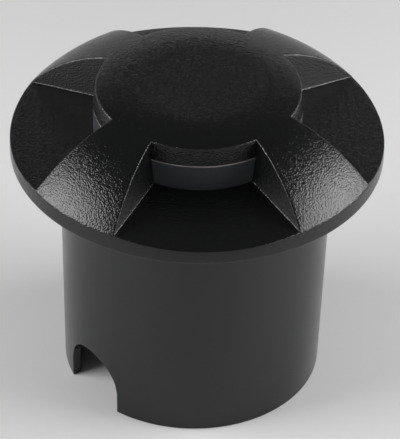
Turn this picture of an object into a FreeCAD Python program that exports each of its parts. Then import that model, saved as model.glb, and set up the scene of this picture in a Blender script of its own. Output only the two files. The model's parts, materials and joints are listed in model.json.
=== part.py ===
import FreeCAD, Part
import math
import os

# In-ground well light: a domed four-window cover on a sealed light head, which a spring
# ring holds in a moulded ground sleeve.
# Millimetres, +Z up.  The origin is the centre of the sleeve's foot, on the ground below
# the fitting.  One window looks along each of -Y (the front), +X, +Y and -X.

# ---- Clearances -------------------------------------------------------------------
seat_gap = 0.3            # between pieces that move past each other
thread_gap = 0.05         # radial, between a screw and its tapped hole
clearance_hole_gap = 0.2  # radial, between a screw and the plain hole that it passes
gasket_side_gap = 0.1     # beside a gasket in its groove
match_gap = 1e-4          # when an edge is looked up by its size and place

# ---- Ground sleeve ----------------------------------------------------------------
sleeve_height = 96.5
sleeve_mouth_radius = 51.4    # outside, at the mouth
sleeve_taper = 2.4            # the foot's radius is smaller by this
sleeve_wall = 3.5
arch_width = 27.2             # cable arch in the foot
arch_height = 22.5
arch_bearing = -145.0         # degrees from +X
mouth_seal_thickness = 1.0
mouth_seal_inset = 0.2        # seal edges stand in from the mouth's edges
seal_seat_depth = 0.5         # shallow seat for the seal in the cover's underside

# ---- Turret cover -----------------------------------------------------------------
rim_radius = 70.0
rim_edge_height = 6.7         # upright edge of the rim, at the legs
rim_corner = 0.6              # chamfer of the rim's lower edge
crown_height = 30.4           # above the rim's underside
crown_flat_radius = 21.8
window_count = 4
window_half_width = 18.4      # at the sill
window_sill_height = 10.5     # above the rim's underside
window_height = 10.9
boss_setback = 1.9            # boss edge, inside the lens face
boss_draft = 6.0              # degrees from upright
recess_splay = 31.9           # degrees between a recess's side and its centre line
recess_draft = 6.8            # degrees from upright
recess_floor_fall = 7.9       # degrees, outwards
crown_thickness = 4.5
skirt_thickness = 5.2         # boss wall between the windows and the crown pocket
leg_thickness = 4.5           # metal over the pockets under the legs
leg_pocket_half_width = 10.5
leg_rib = 3.0                 # rib between the two pockets of a leg
rim_land = 5.5                # solid rim outside the pockets
sleeve_land = 2.6             # solid ring outside the sleeve's mouth
spigot_depth = 4.0            # depth of the seat for the housing's flange

# ---- Diffuser ---------------------------------------------------------------------
screw_land = 6.8              # from the lens face to the edge of the housing's flange
lens_wall = 2.8
lens_top_thickness = 3.0
lens_corner = 0.6
lens_gasket_height = 1.5
cover_gasket_thickness = 1.0

# ---- Screws (M3) ------------------------------------------------------------------
screw_radius = 1.5
screw_head_radius = 2.75
screw_head_height = 1.8
screw_socket_across = 2.0
screw_socket_depth = 1.1
cover_screw_reach = 8.0       # thread in the cover
board_screw_reach = 3.0
cap_screw_reach = 8.0
driver_screw_reach = 5.0
thread_end_gap = 0.8          # hole depth beyond a screw's end

# ---- Housing ----------------------------------------------------------------------
head_gap = 0.9                # radial, between flange and sleeve mouth
flange_thickness = 3.5
deck_thickness = 4.0
can_screw_gap = 3.0           # from the can to the heads of the cover screws
can_wall = 3.0
can_length = 39.0             # from the deck's top to the can's open end
fin_depth = 5.0
fin_thickness = 1.8
fins_per_window = 6
cap_boss_radius = 4.0
cap_boss_inset = 3.5          # boss centre, inside the can's bore
cap_boss_height = 15.0
cap_thickness = 4.0
cap_gasket_thickness = 1.0
cap_gasket_width = 11.0

# ---- Light source -----------------------------------------------------------------
pad_thickness = 0.5
pad_inset = 1.0
board_thickness = 1.6
board_inset = 4.4             # LED board edge, inside the lens wall
board_screw_inset = 5.0
chip_length = 3.5
chip_width = 2.8
chip_height = 0.8
chip_ring_inset = 9.0
chips_per_window = 3
chip_pitch = 14.0             # degrees
reflector_post_radius = 4.5
reflector_post_height = 1.9
reflector_wall = 1.2
reflector_rim_gap = 3.4       # reflector rim, inside the lens wall
reflector_bow = 1.2           # how far the flare's middle lies below a straight cone

# ---- Driver -----------------------------------------------------------------------
driver_radius = 26.0
driver_board_thickness = 1.6
standoff_count = 3
standoff_circle = 21.0
standoff_across = 5.5
standoff_height = 16.0
standoff_stud_length = 3.0
transformer_length = 16.0
transformer_width = 14.0
transformer_height = 12.0
transformer_leg = 3.2
bobbin_radius = 5.2
capacitor_radius = 5.0
capacitor_height = 12.5
capacitor_corner = 0.8
choke_radius = 4.5
choke_bore = 1.8
choke_height = 6.0
terminal_length = 15.0
terminal_depth = 8.0
terminal_height = 10.0
terminal_ways = 3
terminal_wire_radius = 1.6
lead_radius = 0.8
lead_spacing = 2.6
lead_offset = 14.0            # leads, from the axis towards the front
grommet_radius = 4.0
grommet_flange = 1.2
connector_length = 8.0
connector_width = 6.6
connector_height = 2.5

# ---- Cable gland (M16) ------------------------------------------------------------
gland_thread_radius = 8.0
gland_bore_radius = 6.5
gland_throat_radius = 4.6     # passage above the seal
gland_flange_across = 20.0
gland_flange_height = 5.0
gland_washer_thickness = 1.0
gland_washer_width = 1.8
gland_barrel_length = 14.0
gland_socket_depth = 12.0     # bore for the seal, from the barrel's end
gland_seal_length = 12.0
gland_cable_radius = 3.75
gland_nut_across = 22.0
gland_nut_wall = 2.3          # lip under the seal
gland_nut_opening = 5.0
gland_nut_height = 13.0
gland_travel = 3.0            # how far the nut and the seal go up when tightened
nut_thread_gap = 0.1

# ---- Spring ring ------------------------------------------------------------------
ring_height = 8.0
ring_wall = 2.3
ring_flat_depth = 0.5
circlip_thickness = 1.2
circlip_reach = 1.9           # outside the can
circlip_groove = 0.8          # depth in the can
circlip_opening = 50.0        # degrees
circlip_rise = 1.7            # above the can's open end
leaf_names = ("a", "b", "c")
leaf_thickness = 0.6
leaf_width = 12.0
leaf_tab = 7.4                # length on the ring
leaf_drop = 17.0              # from the ring's lower edge to the belly
leaf_toe_drop = 6.5           # from the belly to the toe
leaf_toe_inset = 2.6
leaf_belly_radius = 5.0
rivet_radius = 1.2
rivet_head_radius = 2.4
rivet_head_height = 0.8
rivet_tail = 1.3
rivet_gap = 0.4               # radial, in the ring's hole

# ---- Levels and radii that follow from the sizes above ----------------------------
rim_z = sleeve_height + mouth_seal_thickness - seal_seat_depth
deck_z = rim_z + spigot_depth - cover_gasket_thickness
flange_z = deck_z - flange_thickness
can_z = deck_z - can_length
sill_z = rim_z + window_sill_height
lens_top_z = sill_z + window_height

sleeve_foot_radius = sleeve_mouth_radius - sleeve_taper
mouth_bore_radius = sleeve_mouth_radius - sleeve_wall
flange_radius = mouth_bore_radius - head_gap
lens_radius = flange_radius - screw_land
lens_bore_radius = lens_radius - lens_wall
cavity_radius = lens_radius + seat_gap
boss_radius = lens_radius - boss_setback
cover_screw_circle = (cavity_radius + flange_radius) / 2
can_radius = cover_screw_circle - screw_head_radius - can_screw_gap
can_bore_radius = can_radius - can_wall
cap_screw_circle = can_bore_radius - cap_boss_inset

board_radius = lens_bore_radius - board_inset
board_z = deck_z + pad_thickness
board_top_z = board_z + board_thickness
board_screw_circle = board_radius - board_screw_inset

driver_top_z = deck_z - deck_thickness - standoff_height
driver_low_z = driver_top_z - driver_board_thickness

cap_top_z = can_z - cap_gasket_thickness
cap_low_z = cap_top_z - cap_thickness
gland_flange_z = cap_low_z - gland_washer_thickness - gland_flange_height
gland_end_z = gland_flange_z - gland_barrel_length

circlip_z = can_z + circlip_rise
ring_z = circlip_z + circlip_thickness + seat_gap
fin_z = ring_z + ring_height + seat_gap
ring_bore_radius = can_radius + seat_gap
ring_radius = ring_bore_radius + ring_wall
ring_flat = ring_radius - ring_flat_depth

tapped_radius = screw_radius + thread_gap
plain_radius = screw_radius + clearance_hole_gap
window_angles = [index * 360 / window_count for index in range(window_count)]
leg_angles = [angle + 180 / window_count for angle in window_angles]
leaf_angles = [index * 360 / len(leaf_names) for index in range(len(leaf_names))]

dome_radius = ((rim_radius - crown_flat_radius) ** 2 + (crown_height - rim_edge_height) ** 2) / (
    2 * (crown_height - rim_edge_height)
)
dome_centre_z = rim_z + crown_height - dome_radius


# ---- Drawing helpers --------------------------------------------------------------
def sleeve_bore(z):
    """Inside radius of the tapered sleeve at height z."""
    return sleeve_foot_radius + sleeve_taper * z / sleeve_height - sleeve_wall


def dome_z(radius, inset=0.0):
    """Height of the dome at a radius, or of the surface that lies inset below it."""
    run = radius - crown_flat_radius
    return dome_centre_z + math.sqrt((dome_radius - inset) ** 2 - run**2)


def turned(shape, degrees):
    """A copy of a shape, turned about the upright axis."""
    copy = shape.copy()
    copy.rotate(FreeCAD.Vector(0, 0, 0), FreeCAD.Vector(0, 0, 1), degrees)
    return copy


def turned_all(shape, angles):
    """A copy of a shape at each of the angles."""
    return [turned(shape, angle) for angle in angles]


def cylinder(radius, low, high, x=0.0, y=0.0):
    """An upright cylinder between two heights."""
    return Part.makeCylinder(radius, high - low, FreeCAD.Vector(x, y, low))


def tube(outer, inner, low, high, x=0.0, y=0.0):
    """An upright tube between two heights."""
    return cylinder(outer, low, high, x, y).cut(cylinder(inner, low, high, x, y))


def block(low_corner, high_corner):
    """A box between two opposite corners."""
    low = FreeCAD.Vector(*low_corner)
    size = FreeCAD.Vector(*high_corner) - low
    return Part.makeBox(size.x, size.y, size.z, low)


def hexagon(across, low, high, x=0.0, y=0.0):
    """An upright hexagonal prism, given its width across flats."""
    radius = across / 2 / math.cos(math.radians(30))
    corners = []
    for index in range(7):
        angle = math.radians(60 * index)
        corners.append(FreeCAD.Vector(x + radius * math.cos(angle), y + radius * math.sin(angle), low))
    face = Part.Face(Part.makePolygon(corners))
    return face.extrude(FreeCAD.Vector(0, 0, high - low))


def section(points):
    """A straight-sided section, given as (radius, height) points."""
    vectors = [FreeCAD.Vector(radius, 0, z) for radius, z in points]
    return Part.makePolygon(vectors + vectors[:1])


def revolved(wire):
    """The solid swept by a section turned once about the upright axis."""
    return Part.Face(wire).revolve(FreeCAD.Vector(0, 0, 0), FreeCAD.Vector(0, 0, 1), 360)


def edges_at(shape, radius, z):
    """The full circles of a shape at a given radius and height."""
    found = []
    for edge in shape.Edges:
        if edge.Curve.TypeId != "Part::GeomCircle":
            continue
        centre = edge.Curve.Center
        if abs(edge.Curve.Radius - radius) < match_gap and abs(centre.z - z) < match_gap:
            found.append(edge)
    return found


def convex_solid(faces):
    """A closed solid from its flat faces, each a list of corners."""
    shell = Part.Shell([Part.Face(Part.makePolygon(face + face[:1])) for face in faces])
    solid = Part.Solid(shell)
    if solid.Volume < 0:
        solid.reverse()
    return solid


def screw(seat_z, reach, x=0.0, y=0.0):
    """A socket screw whose head lies on seat_z; it goes up if reach is positive, else down."""
    direction = math.copysign(1, reach)
    head_end = seat_z - direction * screw_head_height
    socket_end = head_end + direction * screw_socket_depth
    tip = seat_z + reach
    head = cylinder(screw_head_radius, min(seat_z, head_end), max(seat_z, head_end), x, y)
    shank = cylinder(screw_radius, min(seat_z, tip), max(seat_z, tip), x, y)
    socket_low = min(head_end, socket_end)
    socket_high = max(head_end, socket_end)
    socket = hexagon(screw_socket_across, socket_low, socket_high, x, y)
    return head.fuse(shank).cut(socket)


def save(name, *solids):
    """Write one sub-part to parts/NAME.step."""
    shape = solids[0] if len(solids) == 1 else Part.makeCompound(list(solids))
    shape.exportStep(os.path.join("parts", name + ".step"))


# ---- Ground sleeve ----------------------------------------------------------------
def ground_sleeve():
    """Tapered open tube; the cable arch is a slot with a half-round head."""
    body = revolved(
        section(
            [
                (sleeve_foot_radius - sleeve_wall, 0),
                (sleeve_foot_radius, 0),
                (sleeve_mouth_radius, sleeve_height),
                (mouth_bore_radius, sleeve_height),
            ]
        )
    )
    half = arch_width / 2
    spring_z = arch_height - half
    reach = sleeve_mouth_radius
    flanks = block((0, -half, -half), (reach, half, spring_z))
    head = Part.makeCylinder(half, reach, FreeCAD.Vector(0, 0, spring_z), FreeCAD.Vector(1, 0, 0))
    return body.cut(turned(flanks.fuse(head), arch_bearing))


def mouth_seal():
    """Flat foam ring between the sleeve's mouth and the rim."""
    outer = sleeve_mouth_radius - mouth_seal_inset
    inner = mouth_bore_radius + mouth_seal_inset
    return tube(outer, inner, sleeve_height, sleeve_height + mouth_seal_thickness)


# ---- Turret cover -----------------------------------------------------------------
def dome_section(inset, outer_radius, low):
    """Section under the dome, or under the surface that lies inset below it."""
    crown = rim_z + crown_height - inset
    edge = dome_z(outer_radius, inset)
    middle = (crown_flat_radius + outer_radius) / 2
    arc = Part.Arc(
        FreeCAD.Vector(outer_radius, 0, edge),
        FreeCAD.Vector(middle, 0, dome_z(middle, inset)),
        FreeCAD.Vector(crown_flat_radius, 0, crown),
    )
    corners = [
        FreeCAD.Vector(crown_flat_radius, 0, crown),
        FreeCAD.Vector(0, 0, crown),
        FreeCAD.Vector(0, 0, low),
        FreeCAD.Vector(outer_radius, 0, low),
        FreeCAD.Vector(outer_radius, 0, edge),
    ]
    lines = [Part.makeLine(start, end) for start, end in zip(corners, corners[1:])]
    return Part.Wire([arc.toShape()] + lines)


def recess_corner(distance, z, side):
    """Point on a recess's drafted side wall, for the recess along +X."""
    sill_distance = math.sqrt(lens_radius**2 - window_half_width**2)
    splay = math.radians(recess_splay)
    spread = (distance - sill_distance) * math.tan(splay)
    draft = (z - sill_z) * math.tan(math.radians(recess_draft)) / math.cos(splay)
    return FreeCAD.Vector(distance, side * (window_half_width + spread + draft), z)


def recess():
    """Wedge cut from the dome before the +X window: splayed sides, falling floor, conical back."""
    sill_distance = math.sqrt(lens_radius**2 - window_half_width**2)
    near = boss_radius / 2
    far = rim_radius * 1.05
    fall = math.tan(math.radians(recess_floor_fall))
    top = rim_z + crown_height * 1.2
    near_z = sill_z - (near - sill_distance) * fall
    far_z = sill_z - (far - sill_distance) * fall
    low = [recess_corner(near, near_z, -1), recess_corner(far, far_z, -1)]
    low += [recess_corner(far, far_z, 1), recess_corner(near, near_z, 1)]
    high = [recess_corner(near, top, -1), recess_corner(far, top, -1)]
    high += [recess_corner(far, top, 1), recess_corner(near, top, 1)]
    sides = [[low[i], low[(i + 1) % 4], high[(i + 1) % 4], high[i]] for i in range(4)]
    wedge = convex_solid([low, high] + sides)
    return wedge.cut(boss_cone(rim_z, top))


def boss_cone(low, high):
    """Drafted boss that carries the crown above the windows."""
    slope = math.tan(math.radians(boss_draft))
    edge_z = dome_z(boss_radius)
    low_radius = boss_radius + (edge_z - low) * slope
    high_radius = boss_radius + (edge_z - high) * slope
    return Part.makeCone(low_radius, high_radius, high - low, FreeCAD.Vector(0, 0, low))


def leg_pockets():
    """Cored pockets under the legs, two to a leg with a rib between them."""
    inner = sleeve_mouth_radius + sleeve_land
    outer = rim_radius - rim_land
    top = rim_z + crown_height
    envelope = revolved(dome_section(leg_thickness, outer + leg_thickness / 2, rim_z - leg_rib))
    pockets = []
    for side in (-1, 1):
        near = side * leg_rib / 2
        far = side * leg_pocket_half_width
        low_y = min(near, far)
        high_y = max(near, far)
        pockets.append(block((inner, low_y, rim_z - leg_rib), (outer, high_y, top)))
    both = pockets[0].fuse(pockets[1]).common(envelope)
    return turned_all(both, leg_angles)


def turret_cover():
    """Cast cover: dome, four recesses that break into the lens cavity, and a cored underside."""
    cover = revolved(dome_section(0.0, rim_radius, rim_z))
    cover = cover.makeChamfer(rim_corner, edges_at(cover, rim_radius, rim_z))
    cover = cover.cut(turned_all(recess(), window_angles))
    below = rim_z - spigot_depth
    seat_z = rim_z + spigot_depth
    ceiling = lens_top_z + seat_gap
    pocket_top = rim_z + crown_height - crown_thickness
    cavity = cylinder(cavity_radius, below, ceiling)
    crown_pocket = cylinder(cavity_radius - skirt_thickness, below, pocket_top)
    seal_seat = cylinder(sleeve_mouth_radius + seat_gap, below, rim_z + seal_seat_depth)
    spigot = cylinder(flange_radius + seat_gap, below, seat_z)
    bore = cylinder(
        tapped_radius,
        below,
        seat_z + cover_screw_reach + thread_end_gap,
        cover_screw_circle,
    )
    cover = cover.cut([cavity, crown_pocket, spigot, seal_seat] + turned_all(bore, leg_angles))
    return cover.cut(leg_pockets())


# ---- Diffuser and its seals -------------------------------------------------------
def diffuser():
    """Frosted cup; its wall is the lens seen in the four windows."""
    cup = cylinder(lens_radius, deck_z, lens_top_z)
    cup = cup.makeChamfer(lens_corner, edges_at(cup, lens_radius, lens_top_z))
    return cup.cut(cylinder(lens_bore_radius, deck_z, lens_top_z - lens_top_thickness))


def diffuser_gasket():
    """Silicone ring in the deck's groove, under the cup's foot."""
    return tube(
        cavity_radius,
        lens_bore_radius - seat_gap,
        deck_z - lens_gasket_height,
        deck_z,
    )


def cover_gasket():
    """Flat ring between the housing's flange and the cover, holed for the screws."""
    inner = cavity_radius + seat_gap
    ring = tube(flange_radius, inner, deck_z, deck_z + cover_gasket_thickness)
    hole = cylinder(plain_radius, deck_z, deck_z + cover_gasket_thickness, cover_screw_circle)
    return ring.cut(turned_all(hole, leg_angles))


def cover_screws():
    """Screws from under the flange up into the legs."""
    reach = flange_thickness + cover_gasket_thickness + cover_screw_reach
    return turned_all(screw(flange_z, reach, cover_screw_circle), leg_angles)


# ---- Light source -----------------------------------------------------------------
def board_holes(low, high):
    """Holes that the pad and the LED board share: centre screw, edge screws and leads."""
    edge_hole = cylinder(plain_radius, low, high, board_screw_circle)
    lead_hole = cylinder(grommet_radius - grommet_flange, low, high, 0, -lead_offset)
    return [cylinder(plain_radius, low, high), lead_hole] + turned_all(edge_hole, leg_angles)


def thermal_pad():
    return cylinder(board_radius - pad_inset, deck_z, board_z).cut(board_holes(deck_z, board_z))


def led_board():
    return cylinder(board_radius, board_z, board_top_z).cut(board_holes(board_z, board_top_z))


def led_chips():
    """Three chips before each window."""
    circle = board_radius - chip_ring_inset
    low = (circle - chip_width / 2, -chip_length / 2, board_top_z)
    high = (circle + chip_width / 2, chip_length / 2, board_top_z + chip_height)
    chip = block(low, high)
    steps = [(index - (chips_per_window - 1) / 2) * chip_pitch for index in range(chips_per_window)]
    angles = [window + step for window in window_angles for step in steps]
    return turned_all(chip, angles)


def board_screws():
    reach = -(board_thickness + pad_thickness + board_screw_reach)
    return turned_all(screw(board_top_z, reach, board_screw_circle), leg_angles)


def reflector():
    """White flare of two cones on a centre post, which turns the light out to the windows."""
    foot_z = board_top_z
    neck_z = foot_z + reflector_post_height
    lip_radius = lens_bore_radius - reflector_rim_gap
    lip_z = lens_top_z - lens_top_thickness - seat_gap
    middle = (reflector_post_radius + lip_radius) / 2
    middle_z = (neck_z + lip_z) / 2 - reflector_bow
    wall = reflector_wall
    bore = plain_radius
    post = [(bore, foot_z), (reflector_post_radius, foot_z), (reflector_post_radius, neck_z)]
    under = [(middle, middle_z - wall / 2), (lip_radius, lip_z - wall)]
    over = [(lip_radius, lip_z), (middle, middle_z + wall / 2)]
    neck = [(reflector_post_radius, neck_z + wall), (bore, neck_z + wall)]
    return revolved(section(post + under + over + neck))


def reflector_screw():
    seat = board_top_z + reflector_post_height + reflector_wall
    return screw(seat, deck_z - board_screw_reach - seat)


# ---- Housing ----------------------------------------------------------------------
def cooling_fins():
    """Upright fins round the can, set so that the cover screws pass between them."""
    overlap = can_wall / 2
    half = fin_thickness / 2
    fin = block((can_radius - overlap, -half, fin_z), (can_radius + fin_depth, half, flange_z + overlap))
    count = fins_per_window * window_count
    return turned_all(fin, [(index + 0.5) * 360 / count for index in range(count)])


def cap_bosses():
    boss = cylinder(cap_boss_radius, can_z, can_z + cap_boss_height, cap_screw_circle)
    return turned_all(boss, leg_angles)


def housing_holes():
    """Blind and through holes of the deck, the flange and the cap bosses."""
    deck_low = deck_z - deck_thickness
    cover_hole = cylinder(plain_radius, flange_z, deck_z, cover_screw_circle)
    thread_low = deck_z - board_screw_reach - thread_end_gap / 2
    board_hole = cylinder(tapped_radius, thread_low, deck_z, board_screw_circle)
    centre_hole = cylinder(tapped_radius, thread_low, deck_z)
    stud_top = deck_low + standoff_stud_length
    stud_hole = cylinder(tapped_radius, deck_low, stud_top + thread_gap, standoff_circle)
    lead_hole = cylinder(grommet_radius, deck_low, deck_z, 0, -lead_offset)
    cap_hole_top = can_z + cap_screw_reach + thread_end_gap
    cap_hole = cylinder(tapped_radius, can_z, cap_hole_top, cap_screw_circle)
    holes = [centre_hole, lead_hole]
    holes += turned_all(cover_hole, leg_angles)
    holes += turned_all(board_hole, leg_angles)
    holes += turned_all(stud_hole, standoff_angles())
    holes += turned_all(cap_hole, leg_angles)
    return holes


def housing():
    """Cast can with deck, flange and fins; open at the bottom."""
    deck_low = deck_z - deck_thickness
    body = revolved(
        section(
            [
                (0, deck_low),
                (can_bore_radius, deck_low),
                (can_bore_radius, can_z),
                (can_radius, can_z),
                (can_radius, flange_z),
                (flange_radius, flange_z),
                (flange_radius, deck_z),
                (0, deck_z),
            ]
        )
    )
    body = body.fuse(cooling_fins() + cap_bosses())
    groove = tube(
        cavity_radius + gasket_side_gap,
        lens_bore_radius - seat_gap - gasket_side_gap,
        deck_z - lens_gasket_height,
        deck_z,
    )
    clip_low = circlip_z - thread_gap
    clip_high = circlip_z + circlip_thickness + thread_gap
    groove_outer = can_radius + circlip_reach
    clip_groove = tube(groove_outer, can_radius - circlip_groove, clip_low, clip_high)
    return body.cut([groove, clip_groove] + housing_holes())


def bottom_cap():
    """Plate under the can, tapped for the gland."""
    plate = cylinder(can_radius, cap_low_z, cap_top_z)
    entry = cylinder(gland_thread_radius + thread_gap, cap_low_z, cap_top_z)
    hole = cylinder(plain_radius, cap_low_z, cap_top_z, cap_screw_circle)
    return plate.cut([entry] + turned_all(hole, leg_angles))


def cap_gasket():
    ring = tube(can_radius, can_radius - cap_gasket_width, cap_top_z, can_z)
    hole = cylinder(plain_radius, cap_top_z, can_z, cap_screw_circle)
    return ring.cut(turned_all(hole, leg_angles))


def cap_screws():
    reach = cap_thickness + cap_gasket_thickness + cap_screw_reach
    return turned_all(screw(cap_low_z, reach, cap_screw_circle), leg_angles)


# ---- Driver -----------------------------------------------------------------------
def standoff_angles():
    """Standoffs clear of the leads, which rise towards the front."""
    return [90 + index * 360 / standoff_count for index in range(standoff_count)]


def driver_board():
    plate = cylinder(driver_radius, driver_low_z, driver_top_z)
    hole = cylinder(plain_radius, driver_low_z, driver_top_z, standoff_circle)
    return plate.cut(turned_all(hole, standoff_angles()))


def driver_standoffs():
    """Hexagonal spacers with a stud up into the deck and a tapped foot."""
    deck_low = deck_z - deck_thickness
    spacer = hexagon(standoff_across, driver_top_z, deck_low, standoff_circle)
    stud = cylinder(screw_radius, deck_low, deck_low + standoff_stud_length, standoff_circle)
    hole_top = driver_top_z + driver_screw_reach + thread_end_gap
    hole = cylinder(tapped_radius, driver_top_z, hole_top, standoff_circle)
    return turned_all(spacer.fuse(stud).cut(hole), standoff_angles())


def driver_screws():
    reach = driver_board_thickness + driver_screw_reach
    return turned_all(screw(driver_low_z, reach, standoff_circle), standoff_angles())


def driver_transformer():
    """Ferrite core round a wound bobbin, under the driver board's left half."""
    centre_x = -transformer_length / 2
    low = driver_low_z - transformer_height
    half = transformer_width / 2
    core = block((centre_x * 2, -half, low), (0, half, driver_low_z))
    window_low = (centre_x * 2 + transformer_leg, -half, low + transformer_leg)
    window_high = (-transformer_leg, half, driver_low_z - transformer_leg)
    bobbin = cylinder(bobbin_radius, low + transformer_leg, driver_low_z - transformer_leg, centre_x)
    return core.cut(block(window_low, window_high)).fuse(bobbin)


def driver_capacitor():
    """Can capacitor under the board's right rear."""
    reach = driver_radius / 2 - capacitor_radius / 2
    low = driver_low_z - capacitor_height
    can = cylinder(capacitor_radius, low, driver_low_z, reach, reach)
    return can.makeChamfer(capacitor_corner, edges_at(can, capacitor_radius, low))


def driver_choke():
    """Wound toroid under the board's right front."""
    x = driver_radius / 2 - capacitor_radius / 2
    y = -choke_radius / 2
    return tube(choke_radius, choke_bore, driver_low_z - choke_height, driver_low_z, x, y)


def terminal_block():
    """Three-way terminal for the supply, its wire holes facing the front."""
    half = terminal_length / 2
    front = -driver_radius * 0.82
    low = driver_low_z - terminal_height
    body = block((-half, front, low), (half, front + terminal_depth, driver_low_z))
    pitch = terminal_length / terminal_ways
    holes = []
    for way in range(terminal_ways):
        x = -half + (way + 0.5) * pitch
        mouth = FreeCAD.Vector(x, front, low + terminal_height / 2)
        holes.append(
            Part.makeCylinder(terminal_wire_radius, terminal_depth * 0.7, mouth, FreeCAD.Vector(0, 1, 0))
        )
    return body.cut(holes)


def lead_positions():
    return [(-lead_spacing / 2, -lead_offset), (lead_spacing / 2, -lead_offset)]


def led_leads():
    """Two insulated leads, straight from the driver board up to the LED board's connector."""
    return [cylinder(lead_radius, driver_top_z, board_top_z, x, y) for x, y in lead_positions()]


def lead_grommet():
    """Rubber bush in the deck's lead hole."""
    deck_low = deck_z - deck_thickness
    shoulder = cylinder(grommet_radius + grommet_flange, deck_low - grommet_flange, deck_low, 0, -lead_offset)
    bush = cylinder(grommet_radius, deck_low, deck_z, 0, -lead_offset)
    holes = []
    for x, y in lead_positions():
        holes.append(cylinder(lead_radius + thread_gap, deck_low - grommet_flange, deck_z, x, y))
    return bush.fuse(shoulder).cut(holes)


def lead_connector():
    """Connector over the lead hole of the LED board."""
    half_x = connector_length / 2
    half_y = connector_width / 2
    low = (-half_x, -lead_offset - half_y, board_top_z)
    high = (half_x, -lead_offset + half_y, board_top_z + connector_height)
    return block(low, high)


# ---- Cable gland ------------------------------------------------------------------
def gland_body():
    """Threaded spigot in the cap, hexagon, and the barrel that the nut runs on."""
    flange_top = gland_flange_z + gland_flange_height
    spigot = cylinder(gland_thread_radius, flange_top, cap_top_z)
    flange = hexagon(gland_flange_across, gland_flange_z, flange_top)
    barrel = cylinder(gland_thread_radius, gland_end_z, gland_flange_z)
    throat = cylinder(gland_throat_radius, gland_end_z, cap_top_z)
    socket = cylinder(gland_bore_radius, gland_end_z, gland_end_z + gland_socket_depth)
    return flange.fuse([spigot, barrel]).cut([throat, socket])


def gland_washer():
    outer = gland_thread_radius + gland_washer_width
    inner = gland_thread_radius + thread_gap
    return tube(outer, inner, cap_low_z - gland_washer_thickness, cap_low_z)


def gland_seal_z():
    """Lower end of the seal when the nut is slack."""
    return gland_end_z + gland_socket_depth - gland_seal_length - gland_travel - seat_gap


def gland_seal():
    """Rubber bush that the nut squeezes on the cable."""
    low = gland_seal_z()
    outer = gland_bore_radius - seat_gap
    return tube(outer, gland_cable_radius, low, low + gland_seal_length)


def gland_nut():
    """Hexagonal nut whose lip carries the seal."""
    seat = gland_seal_z() - seat_gap
    low = seat - gland_nut_wall
    nut = hexagon(gland_nut_across, low, low + gland_nut_height)
    thread = cylinder(gland_thread_radius + nut_thread_gap, seat, low + gland_nut_height)
    opening = cylinder(gland_nut_opening, low, seat)
    return nut.cut([thread, opening])


# ---- Spring ring ------------------------------------------------------------------
def spring_ring():
    """Ring that turns on the can, with a flat and a rivet hole for each leaf."""
    ring = tube(ring_radius, ring_bore_radius, ring_z, ring_z + ring_height)
    half = leaf_width
    flat = block((ring_flat, -half, ring_z), (ring_radius + ring_wall, half, ring_z + ring_height))
    hole = Part.makeCylinder(
        rivet_radius + rivet_gap,
        ring_radius,
        FreeCAD.Vector(0, 0, rivet_z()),
        FreeCAD.Vector(1, 0, 0),
    )
    return ring.cut(turned_all(flat, leaf_angles) + turned_all(hole, leaf_angles))


def rivet_z():
    return ring_z + ring_height / 2


def ring_circlip():
    """Open clip in the can's groove, under the spring ring."""
    inner = can_radius - circlip_groove
    outer = can_radius + circlip_reach
    clip = tube(outer, inner, circlip_z, circlip_z + circlip_thickness)
    half = math.radians(circlip_opening / 2)
    reach = outer * 1.2
    tip_x = reach * math.cos(half)
    tip_y = reach * math.sin(half)
    corners = [
        FreeCAD.Vector(0, 0, circlip_z),
        FreeCAD.Vector(tip_x, -tip_y, circlip_z),
        FreeCAD.Vector(tip_x, tip_y, circlip_z),
        FreeCAD.Vector(0, 0, circlip_z),
    ]
    gap = Part.Face(Part.makePolygon(corners)).extrude(FreeCAD.Vector(0, 0, circlip_thickness))
    return clip.cut(gap)


def leaf_spring():
    """Bowed strip along +X: a tab on the ring's flat, a belly near the sleeve and a toe turned in.

    The strip's edges come nearest to the round sleeve, and the belly's corner stands out by
    what its rounding takes off.
    """
    tab_top = ring_z + leaf_tab
    belly_z = ring_z - leaf_drop
    toe_z = belly_z - leaf_toe_drop
    half = leaf_width / 2
    belly = math.sqrt(sleeve_bore(belly_z) ** 2 - half**2) - seat_gap
    outside = ring_flat + leaf_thickness
    bend = math.atan2(belly - outside, leaf_drop) + math.atan2(leaf_toe_inset, leaf_toe_drop)
    setback = leaf_belly_radius * (1 / math.cos(bend / 2) - 1)
    corner = belly + setback
    line = [
        (outside, tab_top),
        (outside, ring_z),
        (corner, belly_z),
        (corner - leaf_toe_inset, toe_z),
    ]
    inner = [(radius - leaf_thickness, z) for radius, z in reversed(line)]
    points = [FreeCAD.Vector(radius, -half, z) for radius, z in line + inner]
    face = Part.Face(Part.makePolygon(points + points[:1]))
    strip = face.extrude(FreeCAD.Vector(0, leaf_width, 0))
    bends = [
        edge
        for edge in strip.Edges
        if abs(edge.Length - leaf_width) < match_gap and abs(edge.CenterOfMass.z - belly_z) < match_gap
    ]
    return strip.makeFillet(leaf_belly_radius, bends)


def leaf_rivet():
    outside = ring_flat + leaf_thickness
    along = FreeCAD.Vector(1, 0, 0)
    seat = FreeCAD.Vector(outside, 0, rivet_z())
    head = Part.makeCylinder(rivet_head_radius, rivet_head_height, seat, along)
    tail_end = FreeCAD.Vector(ring_flat - rivet_tail, 0, rivet_z())
    shank = Part.makeCylinder(rivet_radius, rivet_tail + leaf_thickness, tail_end, along)
    return head.fuse(shank)


def leaf_with_rivet():
    """The strip, holed for its rivet, and the rivet."""
    rivet = leaf_rivet()
    return leaf_spring().cut(rivet), rivet


# ---- Sub-parts --------------------------------------------------------------------
os.makedirs("parts", exist_ok=True)

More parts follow.
